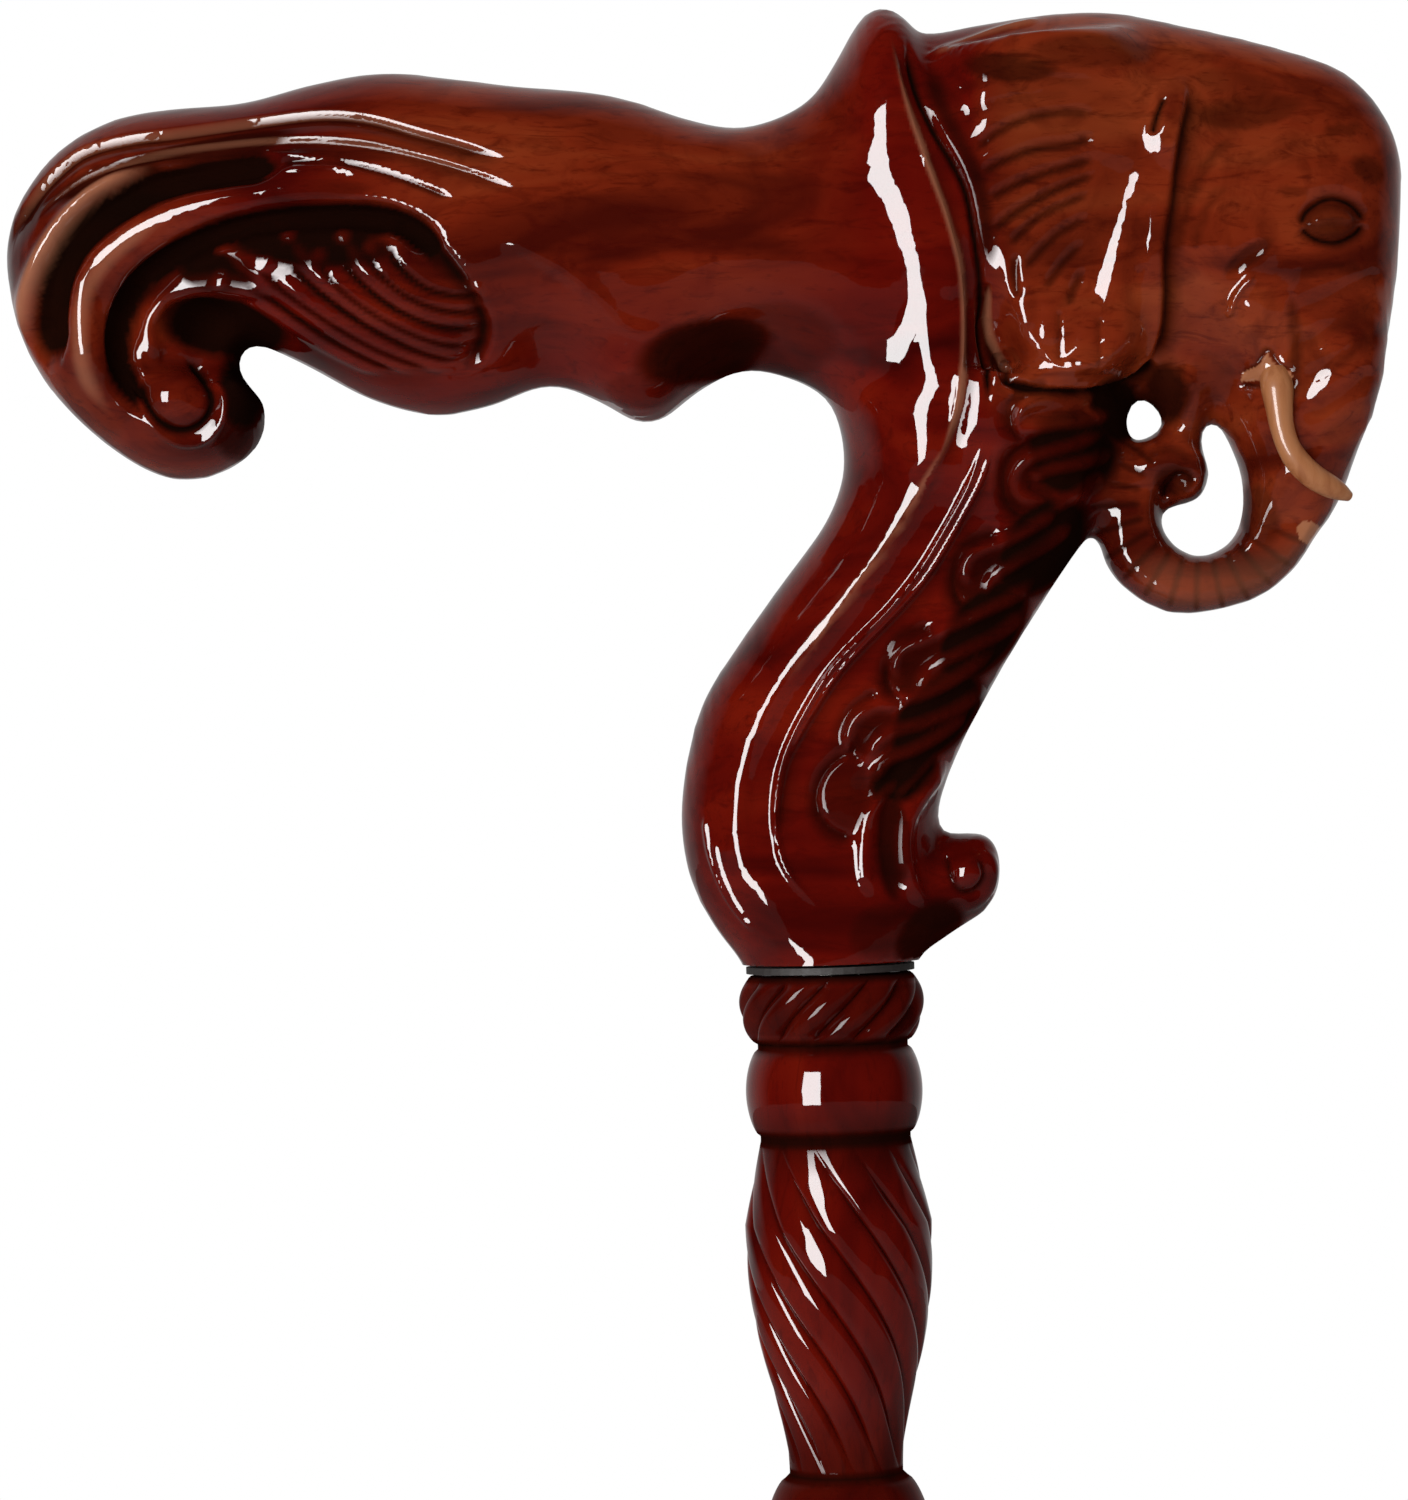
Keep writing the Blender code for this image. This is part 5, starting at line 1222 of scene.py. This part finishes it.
def make_world():
    """White behind for the camera and for gloss, dark in front for gloss, a plain level for matt surfaces."""
    world = bpy.data.worlds.new("studio")
    bpy.context.scene.world = world
    world.use_nodes = True
    nodes = Nodes(world.node_tree)
    way = nodes.add("ShaderNodeTexCoord").outputs["Generated"]
    apart = nodes.add("ShaderNodeSeparateXYZ", {"Vector": way})
    path = nodes.add("ShaderNodeLightPath")
    gloss = nodes.remap(apart.outputs["Y"], 0.10, 0.95, 0.01, 0.45)
    unseen = nodes.remap(path.outputs["Is Glossy Ray"], 0.0, 1.0, 0.5, gloss)
    strength = nodes.remap(path.outputs["Is Camera Ray"], 0.0, 1.0, unseen, 1.0)
    nodes.fill(world.node_tree.nodes["Background"], {"Color": (1.0, 1.0, 1.0), "Strength": strength})


def make_studio():
    """The floor, the surround and the lamps."""
    make_floor()
    make_world()
    area_light("window", (-0.475, -0.857, SEAT + 0.09), 0.42, 0.70, 18.0, diffuse=False)
    area_light("key", (-0.60, -1.05, SEAT + 0.25), 0.7, 0.9, 9.0, glossy=False)


def make_stick():
    """Every visible piece of the stick."""
    handle_wood = lacquered_wood("lacquered_handle_wood", (30.0, 110.0, 110.0))
    shaft_wood = lacquered_wood("lacquered_shaft_wood", (110.0, 110.0, 26.0))
    tusk_wood = pale_wood()
    steel = plain_metal("zinc_plated_steel", (0.62, 0.62, 0.60), 0.35)
    brass = plain_metal("turned_brass", (0.72, 0.52, 0.22), 0.28)
    rubber = matt_black("black_rubber", (0.022, 0.022, 0.022), 0.6, 1500.0)
    fibre = matt_black("black_fibre", (0.018, 0.012, 0.010), 0.65, 4000.0)
    dress(make_handle(), handle_wood, 75, "handle", "handle_wood", "handle")
    dress(make_shaft(), shaft_wood, 50, "shaft", "shaft_wood", "shaft")
    dress(make_tusk("carved_tusk_right", -1.0), tusk_wood, 60, "handle", "tusk", "tusk_right")
    dress(make_tusk("carved_tusk_left", 1.0), tusk_wood, 60, "handle", "tusk", "tusk_left")
    repainted = {
        "joining_stud": steel, "tip_washer": steel, "handle_insert": brass, "joint_washer": fibre,
        "rubber_tip": rubber,
    }
    for node, material in repainted.items():
        paint(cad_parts[node], material, 35)


bpy.context.scene.view_settings.view_transform = "Standard"
make_camera()
make_stick()
make_studio()
